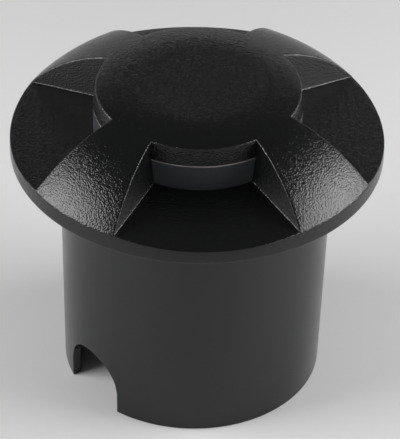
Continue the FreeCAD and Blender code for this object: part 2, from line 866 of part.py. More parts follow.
save("ground_sleeve", ground_sleeve())
save("mouth_seal", mouth_seal())
save("turret_cover", turret_cover())
save("cover_gasket", cover_gasket())
save("cover_screws", *cover_screws())
save("diffuser", diffuser())
save("diffuser_gasket", diffuser_gasket())
save("reflector", reflector())
save("reflector_screw", reflector_screw())
save("led_board", led_board())
save("led_chips", *led_chips())
save("board_screws", *board_screws())
save("thermal_pad", thermal_pad())
save("lead_connector", lead_connector())
save("led_leads", *led_leads())
save("lead_grommet", lead_grommet())
save("housing", housing())
save("driver_board", driver_board())
save("driver_standoffs", *driver_standoffs())
save("driver_screws", *driver_screws())
save("driver_transformer", driver_transformer())
save("driver_capacitor", driver_capacitor())
save("driver_choke", driver_choke())
save("terminal_block", terminal_block())
save("bottom_cap", bottom_cap())
save("cap_gasket", cap_gasket())
save("cap_screws", *cap_screws())
save("gland_washer", gland_washer())
save("gland_body", gland_body())
save("gland_seal", gland_seal())
save("gland_nut", gland_nut())
save("ring_circlip", ring_circlip())
save("spring_ring", spring_ring())
for leaf_name, leaf_angle in zip(leaf_names, leaf_angles):
    strip, rivet = leaf_with_rivet()
    save("leaf_spring_" + leaf_name, turned(strip, leaf_angle), turned(rivet, leaf_angle))
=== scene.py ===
"""In-ground well light, dressed over its CAD frame.

Lengths are millimetres until a mesh is made.  Heights and radii come from the frame's nodes;
what a node's box can't tell is a named size below.  Angles about +Z are radians, and one
eighth of the cover, from a recess's centre line to a leg's, is mirrored and turned round.
"""
import json
import math

import bmesh
import bpy
import mathutils
import numpy as np
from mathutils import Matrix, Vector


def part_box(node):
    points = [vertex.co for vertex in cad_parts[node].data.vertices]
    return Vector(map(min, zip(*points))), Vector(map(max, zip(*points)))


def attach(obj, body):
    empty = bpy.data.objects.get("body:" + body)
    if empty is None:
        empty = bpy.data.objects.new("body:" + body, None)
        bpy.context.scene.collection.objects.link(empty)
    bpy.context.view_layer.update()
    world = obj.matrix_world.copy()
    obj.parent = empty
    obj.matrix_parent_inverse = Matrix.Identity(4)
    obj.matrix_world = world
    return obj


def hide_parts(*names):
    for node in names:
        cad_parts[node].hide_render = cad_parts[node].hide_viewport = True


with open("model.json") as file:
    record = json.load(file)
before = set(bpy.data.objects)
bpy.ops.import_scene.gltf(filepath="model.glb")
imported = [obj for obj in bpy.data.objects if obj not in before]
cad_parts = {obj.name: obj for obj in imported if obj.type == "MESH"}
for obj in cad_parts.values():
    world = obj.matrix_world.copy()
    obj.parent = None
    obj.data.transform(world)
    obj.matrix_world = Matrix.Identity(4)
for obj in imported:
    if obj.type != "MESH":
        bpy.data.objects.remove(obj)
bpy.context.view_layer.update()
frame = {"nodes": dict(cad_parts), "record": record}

MM = 0.001


def low_high(node):
    """Lowest and highest corner of a CAD node, in millimetres."""
    low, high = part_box(node)
    return [value / MM for value in low], [value / MM for value in high]


def levels(node):
    """Lowest and highest point of a CAD node."""
    low, high = low_high(node)
    return low[2], high[2]


def middle_of(node):
    """Middle of a CAD node's box as seen from above, at height zero."""
    low, high = low_high(node)
    return np.array([(low[0] + high[0]) / 2, (low[1] + high[1]) / 2, 0])


# ---- Sizes ------------------------------------------------------------------------
rim_radius = low_high("turret_cover")[1][0]
rim_z, crown_z = levels("turret_cover")
lens_radius = low_high("diffuser")[1][0]
deck_z, lens_top = levels("diffuser")
sleeve_mouth_radius = low_high("ground_sleeve")[1][0]
sleeve_height = levels("ground_sleeve")[1]
can_radius = low_high("bottom_cap")[1][0]
board_radius = low_high("led_board")[1][0]
ring_radius = low_high("spring_ring")[1][1]
ring_low, ring_top = levels("spring_ring")

rim_edge_height = 6.7
rim_corner = 0.6
crown_flat_radius = 21.8
crown_thickness = 4.5
sill_z = rim_z + 10.5
window_half_width = 18.4
recess_splay = math.radians(31.9)
recess_draft = math.radians(6.8)
floor_fall = math.radians(7.9)
boss_radius = lens_radius - 1.9
boss_draft = math.radians(6.0)
edge_round = 0.6              # rounding of the cast edges
foot_round = 0.5              # hollow rounding where a recess's side meets its floor

lens_wall = 2.8
lens_roof = 3.0
lens_corner = 0.6
lens_gap = 0.3                # between the lens and the casting
shoulder_z = sill_z - 3.0     # above it the lens and its opening are narrower
window_radius = lens_radius - 1.2
window_top = lens_top - 0.9
cavity_radius = lens_radius + lens_gap
throat_radius = window_radius + lens_gap
cavity_top = window_top + lens_gap
crown_pocket_radius = cavity_radius - 5.2

spigot_radius = sleeve_mouth_radius - 4.1
spigot_top = rim_z + 4
seal_seat_radius = sleeve_mouth_radius + 0.3
seal_seat_top = rim_z + 0.5
pocket_inner = sleeve_mouth_radius + 2.6
pocket_outer = rim_radius - 5.5
pocket_near = 1.5             # half the rib between a leg's two pockets
pocket_far = 10.5
pocket_cover = 4.5            # metal over the pockets

sleeve_wall = 3.5
sleeve_taper = 2.4
sleeve_edge_round = 0.35
arch_half_width = 13.6
arch_height = 22.5
arch_bearing = math.radians(-145)

can_wall = 3.0
cap_boss_inset = 3.5
flange_radius = sleeve_mouth_radius - sleeve_wall - 0.9
cover_screw_circle = (cavity_radius + flange_radius) / 2
standoff_circle = 21.0
board_screw_inset = 5.0

screw_radius = 1.5
screw_pitch = 0.5
screw_thread_depth = 0.3
screw_end = 0.3               # plain length at each end of the thread
screw_runout = 0.1            # from there to where the thread starts
screw_tip_bevel = 0.2
screw_head_radius = 2.75
screw_head_height = 1.8
screw_head_round = 0.3
screw_head_bevel = 0.12
screw_socket_across = 2.0
screw_socket_depth = 1.1
screw_socket_bevel = 0.15
screw_drill_point = 0.35

gland_flange_across = 20.0
gland_flange_height = 5.0
gland_barrel = 14.0
gland_thread_radius = 8.0
gland_pitch = 1.5
gland_thread_depth = 0.8
gland_runout = 0.4
gland_bevel = 0.2
gland_bore_radius = 6.5
gland_throat_radius = 4.6
gland_socket_depth = 12.0
gland_cable_radius = 3.75
gland_nut_across = 22.0
gland_nut_wall = 2.3
gland_nut_opening = 5.0
bush_round = 0.5
bush_rib = 0.35
bush_mouth = 0.4

chip_package = (1.4, 1.75, 0.3)   # half length, half width and corner
chip_drop = (0.92, 1.27, 0.3)
chip_circle = board_radius - 9.0
chip_pitch = math.radians(14)
shut = 9.0                    # inset that closes the end of an oblong

circlip_groove = 0.8
circlip_half_opening = math.radians(25)
leaf_thickness = 0.6
leaf_width = 12.0
leaf_tab = 7.4
leaf_drop = 17.0
leaf_toe_drop = 6.5
leaf_toe_inset = 2.6
leaf_belly_radius = 5.0
leaf_knee = 1.5
leaf_end_round = 2.0
rivet_radius = 1.2
rivet_reach = 1.6
rivet_head_radius = 2.4
rivet_head_height = 0.8
rivet_head_edge = 0.15
ring_flat = ring_radius - 0.5

eighth = math.pi / 4
quarter_turns = [index * math.pi / 2 for index in range(4)]
leg_angles = [(index + 0.5) * math.pi / 2 for index in range(4)]
leaf_angles = {"a": 0.0, "b": math.tau / 3, "c": 2 * math.tau / 3}
standoff_angles = [math.pi / 2 + index * math.tau / 3 for index in range(3)]

dome_run = rim_radius - crown_flat_radius
dome_fall = crown_z - rim_z - rim_edge_height
dome_radius = (dome_run**2 + dome_fall**2) / (2 * dome_fall)
dome_centre = crown_z - dome_radius
wall_slope = math.tan(recess_splay)
wall_lean = math.tan(recess_draft) / math.cos(recess_splay)
floor_slope = math.tan(floor_fall)
sill_x = math.sqrt(lens_radius**2 - window_half_width**2)

# the camera was fitted to the photograph's outline; its lengths are in rim radii
camera_distance = 21.606
camera_aim = (0.0275, 0.4898)  # to the right, and below the rim
camera_height = math.radians(38.09)
camera_roll = math.radians(1.625)
camera_turn = math.radians(-4.36)
camera_focal_mm = 326.65

floor_half_width = 6.0        # metres
horizon_glow = 1.0
overhead_glow = 0.13
glow_height = 0.45            # of the direction that is as dark as overhead
# name, place in metres, width, height, radiance
softboxes = (
    ("softbox_left", (-0.66, -0.06, 0.33), 0.55, 0.44, 8.4),
    ("softbox_right", (0.66, -0.06, 0.33), 0.55, 0.44, 8.6),
    ("edge_strip", (0.9, -0.6, 0.2), 0.15, 0.5, 6.0),
)


# ---- Grids and meshes -------------------------------------------------------------
def polar(radius, angle, z):
    """Points at a radius, an angle about +Z and a height, broadcast together."""
    radius, angle, z = np.broadcast_arrays(radius, angle, z)
    return np.stack([radius * np.cos(angle), radius * np.sin(angle), z], axis=-1)


def rings(angles, *rows):
    """Rows round the axis, one for each (radius, height)."""
    return np.stack([polar(radius, angles, z) for radius, z in rows])


def between(start, end, steps):
    """Rows from start to end in equal steps: start + (end - start) t."""
    t = np.linspace(0, 1, steps + 1).reshape(-1, *[1] * np.ndim(start))
    return start + (end - start) * t


def rounded(start, corner, end, steps):
    """Rows of a quadratic curve: (1-t)^2 start + 2t(1-t) corner + t^2 end."""
    start, corner, end = (np.asarray(spot, dtype=float) for spot in (start, corner, end))
    t = np.linspace(0, 1, steps + 1).reshape(-1, *[1] * np.ndim(start))
    return (1 - t) ** 2 * start + 2 * t * (1 - t) * corner + t**2 * end


def quads(rows, columns, first=0):
    """Corner numbers of a grid's four-sided faces, row by row."""
    corner = first + np.arange(rows * columns).reshape(rows, columns)
    faces = [corner[:-1, :-1], corner[:-1, 1:], corner[1:, 1:], corner[1:, :-1]]
    return np.stack(faces, axis=-1).reshape(-1, 4)


def joined(patches):
    """One point array and one face array from several grids of points."""
    points, faces, count = [], [], 0
    for patch in patches:
        rows, columns = patch.shape[:2]
        points.append(patch.reshape(-1, 3))
        faces.append(quads(rows, columns, count))
        count += rows * columns
    return np.concatenate(points), np.concatenate(faces)


def mirrored(patches):
    """The patches and their mirror image across the XZ plane."""
    return patches + [patch * np.array([1, -1, 1]) for patch in patches]


def turned(patches, angles):
    """The patches, turned about +Z by each of the angles."""
    result = []
    for angle in angles:
        c, s = math.cos(angle), math.sin(angle)
        turn = np.array([[c, s, 0], [-s, c, 0], [0, 0, 1]])
        result += [patch @ turn for patch in patches]
    return result


def closed(profile):
    """The profile's points as an array, with the first one again at the end."""
    return np.array(profile + profile[:1], dtype=float)


def lathed(profile, segments=128):
    """Grid of a closed (radius, height) profile turned about +Z."""
    profile = closed(profile)
    angles = np.linspace(0, math.tau, segments + 1)
    return polar(profile[:, :1], angles, profile[:, 1:])


def four_corners(left, right, low, high):
    """Corners of a section that is a plain oblong."""
    return [(left, low), (right, low), (right, high), (left, high)]


def softened(corners, size, steps=4):
    """Closed (radius, height) profile with rounded corners: each becomes a quadratic curve
    between the points that lie size before it and after it.  A corner may give its own size."""
    points = [np.array(corner[:2], dtype=float) for corner in corners]
    line = []
    for index, point in enumerate(points):
        own = corners[index][2] if len(corners[index]) > 2 else size
        ends = []
        for other in (points[index - 1], points[(index + 1) % len(points)]):
            share = min(own / np.linalg.norm(other - point), 0.5)
            ends.append(point + (other - point) * share)
        line += [tuple(spot) for spot in rounded(ends[0], point, ends[1], steps if own else 1)]
    return line


def hexagon_radius(across, angles):
    """Distance from the axis to the side of a hexagon with a corner on +X."""
    return across / 2 / np.cos(angles % (math.pi / 3) - math.pi / 6)


def hexagon_side(across, start, end, angles):
    """Rows along a hexagon with chamfered ends: the smaller of the hexagon's radius and that of
    a cone, which widens from each end face at 1 / tan 30 degrees."""
    slope = math.tan(math.pi / 6)
    face = 0.97 * across / 2
    tip = (across / 2 / math.cos(math.pi / 6) - face) * slope
    way = math.copysign(tip, end - start)
    chamfers = np.linspace(start, start + way, 7), np.linspace(end - way, end, 7)
    z = np.concatenate(chamfers)[:, None]
    reach = np.minimum(np.abs(z - start), np.abs(end - z))
    return polar(np.minimum(hexagon_radius(across, angles), face + reach / slope), angles, z)


def thread(radius, depth, pitch, start, end, angles, samples=6):
    """Rows along a right-hand thread: the radius less depth times a triangle wave of
    z / pitch - angle / (2 pi)."""
    rows = int(abs(end - start) / pitch * samples) + 2
    z = np.linspace(start, end, rows)[:, None]
    phase = (z / pitch - angles / math.tau) % 1
    return polar(radius - depth * np.abs(2 * phase - 1), angles, z)


def oblong(half_x, half_y, corner, *rows):
    """Rows of a rounded rectangle about the axis, one for each (inset, height): its corner's
    arcs shrink with the inset, and past the corner's radius the arcs' centres move in."""
    quarter = np.linspace(0, math.pi / 2, 5)
    angles = np.concatenate([quarter + turn for turn in quarter_turns] + [[0.0]])
    side_x = np.repeat([1, -1, -1, 1, 1], [5, 5, 5, 5, 1])
    side_y = np.repeat([1, 1, -1, -1, 1], [5, 5, 5, 5, 1])
    grid = []
    for inset, z in rows:
        arc = max(corner - inset, 0.02)
        x = side_x * max(half_x - inset - arc, 0) + arc * np.cos(angles)
        y = side_y * max(half_y - inset - arc, 0) + arc * np.sin(angles)
        shrink = 0.0 if inset >= min(half_x, half_y) else 1.0
        grid.append(np.stack([x * shrink, y * shrink, np.full_like(x, z)], axis=-1))
    return np.stack(grid)


def wire(path, across, radius, sides):
    """Round wire along a path: circles square to its direction, set out from a sideways vector."""
    along = np.gradient(path, axis=0)
    along /= np.linalg.norm(along, axis=1, keepdims=True)
    out = across - (across * along).sum(axis=1, keepdims=True) * along
    out /= np.linalg.norm(out, axis=1, keepdims=True)
    up = np.cross(along, out)
    turn = np.linspace(0, math.tau, sides + 1)[None, :, None]
    circle = np.cos(turn) * out[:, None] + np.sin(turn) * up[:, None]
    return path[:, None] + radius * circle


def placed(name, mesh, slot, body, nodes):
    """An object at the origin for a mesh, with its finish, its body and what it replaces."""
    mesh.materials.append(finishes[slot])
    made = bpy.data.objects.new(name, mesh)
    bpy.context.scene.collection.objects.link(made)
    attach(made, body)
    if nodes:
        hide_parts(*nodes)
    return made


def piece(name, patches, slot, body, *nodes, crease=35.0):
    """A mesh of merged grids with outward faces, sharp where faces turn by more than crease."""
    points, faces = joined(patches)
    mesh = bpy.data.meshes.new(name)
    mesh.from_pydata((points * MM).tolist(), [], faces.tolist())
    work = bmesh.new()
    work.from_mesh(mesh)
    bmesh.ops.remove_doubles(work, verts=work.verts, dist=0.004 * MM)
    bmesh.ops.dissolve_degenerate(work, edges=work.edges, dist=0.002 * MM)
    bmesh.ops.recalc_face_normals(work, faces=work.faces)
    for face in work.faces:
        face.smooth = True
    for edge in work.edges:
        edge.smooth = len(edge.link_faces) == 2 and edge.calc_face_angle() < math.radians(crease)
    work.to_mesh(mesh)
    work.free()
    return placed(name, mesh, slot, body, nodes)


def rounded_edges(made, width, segments, angle):
    """A bevel on every edge that turns by more than the angle in degrees."""
    bevel = made.modifiers.new("rounded_edges", "BEVEL")
    bevel.width = width * MM
    bevel.segments = segments
    bevel.limit_method = "ANGLE"
    bevel.angle_limit = math.radians(angle)
    return bevel


def eased(name, node, slot, width):
    """A CAD node's own form with cast or moulded edges: a copy of its mesh, its triangles merged
    into whole faces, and every edge sharper than 35 degrees rounded by a bevel."""
    work = bmesh.new()
    work.from_mesh(frame["nodes"][node].data)
    bmesh.ops.remove_doubles(work, verts=work.verts, dist=0.002 * MM)
    flat = math.radians(0.4)
    bmesh.ops.dissolve_limit(work, angle_limit=flat, verts=work.verts, edges=work.edges)
    work.verts.index_update()
    corners = [tuple(vert.co) for vert in work.verts]
    faces = [[vert.index for vert in face.verts] for face in work.faces]
    work.free()
    mesh = bpy.data.meshes.new(name)
    mesh.from_pydata(corners, [], faces)
    mesh.shade_smooth()
    mesh.set_sharp_from_angle(angle=math.radians(35))
    made = placed(name, mesh, slot, "light_head", [node])
    rounded_edges(made, width, 2, 35).use_clamp_overlap = False


# ---- Materials --------------------------------------------------------------------
def srgb(code):
    """Linear colour of an sRGB hex code."""
    value = np.array([int(code[i : i + 2], 16) for i in (1, 3, 5)]) / 255
    linear = np.where(value <= 0.04045, value / 12.92, ((value + 0.055) / 1.055) ** 2.4)
    return (*linear.tolist(), 1.0)


def add(tree, kind, inputs=None, **settings):
    """A node with its settings; an input takes a value or the socket that feeds it."""
    made = tree.nodes.new(kind)
    for name, value in settings.items():
        setattr(made, name, value)
    for name, value in (inputs or {}).items():
        if isinstance(value, bpy.types.NodeSocket):
            tree.links.new(value, made.inputs[name])
        else:
            made.inputs[name].default_value = value
    return made


def surface(name, inputs):
    """A new material with settings of its shader: the material, its node tree, the shader and
    the Object coordinates."""
    material = bpy.data.materials.new(name)
    material.use_nodes = True
    tree = material.node_tree
    shader = tree.nodes["Principled BSDF"]
    for key, value in inputs.items():
        shader.inputs[key].default_value = value
    place = add(tree, "ShaderNodeTexCoord").outputs["Object"]
    return material, tree, shader, place


def dress(tree, shader, tone, colours, gloss=None, height=None, relief=0.0, strength=1.0):
    """What a pattern does to a shader: its tone picks the colour, from a table of places and
    hex codes, and the roughness, between the two of gloss; its height stands up by relief mm."""
    colour = add(tree, "ShaderNodeValToRGB", {"Fac": tone})
    spots = colour.color_ramp.elements
    (first, dark), *middle, (last, pale) = colours.items()
    spots[0].position, spots[1].position = first, last
    spots[0].color, spots[1].color = srgb(dark), srgb(pale)
    for spot, code in middle:
        spots.new(spot).color = srgb(code)
    tree.links.new(colour.outputs["Color"], shader.inputs["Base Color"])
    if gloss:
        ends = {"Value": tone, "To Min": gloss[0], "To Max": gloss[1]}
        shine = add(tree, "ShaderNodeMapRange", ends)
        tree.links.new(shine.outputs["Result"], shader.inputs["Roughness"])
    if height:
        rise = {"Height": height, "Strength": strength, "Distance": relief * MM}
        bump = add(tree, "ShaderNodeBump", rise)
        tree.links.new(bump.outputs["Normal"], shader.inputs["Normal"])


def powder_coat():
    """Black polyester powder coat, baked on: its grains melt into a pebbled orange peel that
    breaks up the soft gloss into fine specks.  Its grain is drawn at 0.54 mm, coarser than the
    real one, which wouldn't show at this size of picture."""
    material, tree, shader, place = surface("powder_coat_black", {"IOR": 1.42})
    grain = {"Vector": place, "Scale": 1 / (0.54 * MM), "Detail": 0.0}
    peel = add(tree, "ShaderNodeTexNoise", grain).outputs["Fac"]
    dress(tree, shader, peel, {0.0: "#08090a", 1.0: "#0f1010"}, (0.14, 0.24), peel, 0.17)
    return material


def moulded_polypropylene():
    """Black moulded polypropylene: a satin skin with the faint ripple of the mould, as 6 mm
    clouds in its gloss, over a 0.5 mm grain."""
    material, tree, shader, place = surface("polypropylene_black", {"IOR": 1.46})
    cloud = {"Vector": place, "Scale": 1 / (6 * MM), "Detail": 2.0}
    fine = {"Vector": place, "Scale": 1 / (0.5 * MM), "Detail": 1.0}
    skin = add(tree, "ShaderNodeTexNoise", cloud).outputs["Fac"]
    grain = add(tree, "ShaderNodeTexNoise", fine).outputs["Fac"]
    colours = {0.0: "#0f1011", 1.0: "#151617"}
    dress(tree, shader, skin, colours, (0.2, 0.26), grain, 0.02, strength=0.25)
    return material


def frosted_polycarbonate():
    """Sand-blasted polycarbonate: even, matt and slightly cloudy.  Its tone follows the
    height over the window's top 11 mm and is painted shade and light: nearly black near the sill
    and dark grey above, painted shade for the dark cavity behind it, and a fine pale line at the
    top, a painted highlight where the moulded edge catches light.  A faint painted glow of its own
    stands for the light that the white flare sends back through it."""
    inputs = {
        "IOR": 1.5,
        "Roughness": 0.5,
        "Specular IOR Level": 0.2,
        "Subsurface Weight": 0.8,
        "Subsurface Scale": 5 * MM,
        "Subsurface Radius": (1.0, 1.0, 1.0),
        # painted glow: the lens is no lamp; this faint emission stands for light sent back through
        # it by the flare
        "Emission Strength": 1.0,
        "Emission Color": srgb("#131517"),
    }
    material, tree, shader, place = surface("polycarbonate_frosted", inputs)
    soft = {"Vector": place, "Scale": 1 / (9 * MM), "Detail": 2.0}
    cloud = add(tree, "ShaderNodeTexNoise", soft).outputs["Fac"]
    height = add(tree, "ShaderNodeSeparateXYZ", {"Vector": place}).outputs["Z"]
    band = {"Value": height, "From Min": (window_top - 11) * MM, "From Max": window_top * MM}
    rise = add(tree, "ShaderNodeMapRange", band).outputs["Result"]
    mix = {0: cloud, 1: 0.04, 2: rise}
    tone = add(tree, "ShaderNodeMath", mix, operation="MULTIPLY_ADD").outputs[0]
    # painted shade: these dark tones stand for the shade of the cavity behind the lens, darkest
    # near the sill
    painted_shade_tones = {0.0: "#060607", 0.16: "#141518", 0.4: "#1d1f21", 0.965: "#222325"}
    # painted highlight: the pale tones at the very top stand for light caught by the lens's rounded
    # top edge
    dress(tree, shader, tone, {**painted_shade_tones, 0.99: "#4d4948", 1.0: "#8a8380"})
    return material


def grained(name, inputs, dark, pale, glossy, dull, grain, relief, draw=(1, 1, 1)):
    """A finish whose colour, gloss and relief follow one noise: grain is its size and relief its
    height in mm, and draw is how far it is drawn out along each axis."""
    material, tree, shader, place = surface(name, inputs)
    size = tuple(1 / (grain * MM * stretch) for stretch in draw)
    spread = add(tree, "ShaderNodeMapping", {"Vector": place, "Scale": size}).outputs["Vector"]
    cells = {"Vector": spread, "Scale": 1.0, "Detail": 3.0}
    noise = add(tree, "ShaderNodeTexNoise", cells).outputs["Fac"]
    dress(tree, shader, noise, {0.3: dark, 0.7: pale}, (glossy, dull), noise, relief)
    return material


def solder_mask(name, mask, track):
    """Printed board: gloss lacquer over etched copper, whose tracks stand out as paler, slightly
    raised lines along the edges of 3 mm cells, over the dots of a 0.6 mm glass weave."""
    inputs = {"IOR": 1.5, "Roughness": 0.28, "Coat Weight": 0.3}
    material, tree, shader, place = surface(name, inputs)
    mesh = {"Vector": place, "Scale": 1 / (3 * MM), "Randomness": 0.6}
    cells = add(tree, "ShaderNodeTexVoronoi", mesh, feature="DISTANCE_TO_EDGE")
    edge = {"Value": cells.outputs["Distance"], "From Min": 0.05, "From Max": 0.12}
    lines = add(tree, "ShaderNodeMapRange", {**edge, "To Min": 1.0, "To Max": 0.0})
    weave = add(tree, "ShaderNodeTexNoise", {"Vector": place, "Scale": 1 / (0.6 * MM)})
    mix = {0: weave.outputs["Fac"], 1: 0.2, 2: lines.outputs["Result"]}
    raised = add(tree, "ShaderNodeMath", mix, operation="MULTIPLY_ADD").outputs[0]
    dress(tree, shader, lines.outputs["Result"], {0.0: mask, 1.0: track}, None, raised, 0.05)
    return material


metal = {"Metallic": 1.0}
moulded = {"IOR": 1.5}
rubber = {"IOR": 1.45, "Sheen Weight": 0.1}
gel = {"IOR": 1.41, "Coat Weight": 0.4}
lacquered = {"Metallic": 0.8, "Coat Weight": 0.6}
waxy = {"IOR": 1.48, "Coat Weight": 0.1}
turned_rings = (20, 20, 1)
# material, shader, dark and pale colour, roughness from and to, grain and relief in mm
finishes = {
    "powder_coat": powder_coat(),
    "moulded_black": moulded_polypropylene(),
    "frosted_lens": frosted_polycarbonate(),
    "board_white": solder_mask("solder_mask_white", "#dcdcd6", "#e9e9e4"),
    "board_green": solder_mask("solder_mask_green", "#0f4a2a", "#1d6b3e"),
    # liquid silicone, moulded: milky and soft, with a faint satin bloom
    "silicone": grained(
        "silicone_moulded", rubber, "#b9b4a8", "#c6c1b6", 0.45, 0.6, 1.5, 0.01
    ),
    # closed-cell rubber, skived from a block: matt black with the pits of its cells
    "foam_rubber": grained(
        "rubber_closed_cell", rubber, "#101011", "#1b1b1c", 0.75, 0.95, 0.6, 0.12
    ),
    # stainless steel, turned: fine rings round the screw break up its highlights
    "stainless": grained(
        "stainless_turned", metal, "#a9a8a5", "#c9c8c5", 0.16, 0.34, 0.15, 0.006, turned_rings
    ),
    # spring steel, rolled and tempered: straight hairlines and a grey-brown temper tint
    "spring_steel": grained(
        "spring_steel_rolled", metal, "#7d7a76", "#a3a09b", 0.22, 0.4, 0.25, 0.006, (1, 1, 24)
    ),
    # aluminium, pressure die-cast and shot-blasted: dull silver with a fine even grain
    "cast_aluminium": grained(
        "aluminium_die_cast", metal, "#9fa1a4", "#b8babc", 0.42, 0.58, 0.7, 0.05
    ),
    # phosphor in silicone, dispensed as a drop: clouded yellow, lit from inside by its grains
    "phosphor": grained("phosphor_gel", gel, "#e0a92c", "#efc34e", 0.25, 0.4, 0.2, 0.01),
    # white polycarbonate, moulded in a polished tool: bright, with a faint flow ripple
    "reflector_white": grained(
        "polycarbonate_white", {"IOR": 1.58}, "#e9e9e6", "#f2f2f0", 0.2, 0.32, 8.0, 0.02
    ),
    # brass, turned on a lathe: warm, with tool rings across the flats
    "brass": grained(
        "brass_turned", metal, "#b08a45", "#cda75e", 0.18, 0.34, 0.15, 0.006, turned_rings
    ),
    # ferrite, pressed and sintered: dark grey, dead matt, sandy to the eye
    "ferrite": grained("ferrite_sintered", {"IOR": 1.7}, "#2c2c2f", "#3b3b3e", 0.6, 0.8, 0.3, 0.03),
    # shrink sleeve over a drawn can: glossy navy, slightly rippled by the can
    "capacitor_sleeve": grained(
        "shrink_sleeve", {"IOR": 1.54}, "#141c33", "#1c2643", 0.2, 0.35, 2.5, 0.03
    ),
    # enamelled copper wire: orange-brown metal under a clear glossy lacquer
    "winding": grained("copper_enamelled", lacquered, "#8a4520", "#b0602c", 0.2, 0.32, 0.8, 0.005),
    # polyamide 66, moulded in a spark-eroded tool: grey, evenly fine-grained
    "terminal_grey": grained(
        "polyamide_grey", moulded, "#8c8d88", "#999a95", 0.45, 0.6, 0.35, 0.02
    ),
    # polyamide 66, unfilled: off-white and waxy
    "connector_white": grained(
        "polyamide_natural", moulded, "#dfdcd0", "#e9e6dc", 0.35, 0.5, 0.5, 0.01
    ),
    # PVC insulation, extruded: glossy red with fine die lines along the lead
    "lead_insulation": grained(
        "pvc_extruded", moulded, "#8e1f1a", "#a32a22", 0.25, 0.4, 0.2, 0.008, (1, 1, 30)
    ),
    # silicone pad filled with ceramic powder: chalky blue-grey
    "thermal_film": grained("silicone_filled", rubber, "#6b7a8a", "#7b8a99", 0.7, 0.85, 0.4, 0.02),
    # glass-filled polyamide, moulded: black, its fibres showing as a faint grey fleck
    "nylon_black": grained("polyamide_black", moulded, "#121213", "#222224", 0.4, 0.55, 0.45, 0.02),
    # acetal, moulded: ivory, slippery and slightly waxy
    "acetal": grained("acetal_natural", waxy, "#c9c4b8", "#d6d1c6", 0.3, 0.42, 2.0, 0.02),
}


# ---- Turret cover -----------------------------------------------------------------
def dome_at(radius, inset=0.0):
    """Height of the dome: flat on top, then an arc about a centre over the flat's edge."""
    run = np.maximum(np.asarray(radius, dtype=float) - crown_flat_radius, 0)
    return dome_centre + np.sqrt((dome_radius - inset) ** 2 - run**2)


def on_line(radius, offset, slope):
    """Where y = offset + slope x crosses a circle of that radius, on the far side."""
    square = 1 + slope**2
    root = np.sqrt((offset * slope) ** 2 - square * (offset**2 - radius**2))
    x = (root - offset * slope) / square
    return x, offset + slope * x


def on_wall(radius, z):
    """Point of the recess's side wall at a radius and a height: a straight line in plan, which
    the draft shifts sideways with the height."""
    radius, z = np.broadcast_arrays(np.asarray(radius, dtype=float), z)
    offset = window_half_width - sill_x * wall_slope + (z - sill_z) * wall_lean
    x, y = on_line(radius, offset, wall_slope)
    return np.stack([x, y, z], axis=-1)


def wall_foot(radius):
    """Point where the side wall meets the falling floor, at a radius: the draft and the fall
    together turn the wall's line in plan a little."""
    slope = wall_slope - floor_slope * wall_lean
    x, y = on_line(radius, window_half_width - sill_x * slope, slope)
    return np.stack([x, y, sill_z - (x - sill_x) * floor_slope], axis=-1)


def bearing(point):
    """Angle of a point about +Z: the arc tangent of y over x."""
    return np.arctan2(point[..., 1], point[..., 0])


def boss_at(z):
    """Radius of the boss at a height: it grows downwards by the tangent of the draft."""
    return boss_radius + (dome_at(boss_radius) - z) * math.tan(boss_draft)


def recess_floor(radius, angle):
    """Height of the recess's floor, which falls evenly along x, or of the dome if lower."""
    flat = sill_z - (radius * np.cos(angle) - sill_x) * floor_slope
    return np.minimum(flat, dome_at(radius))


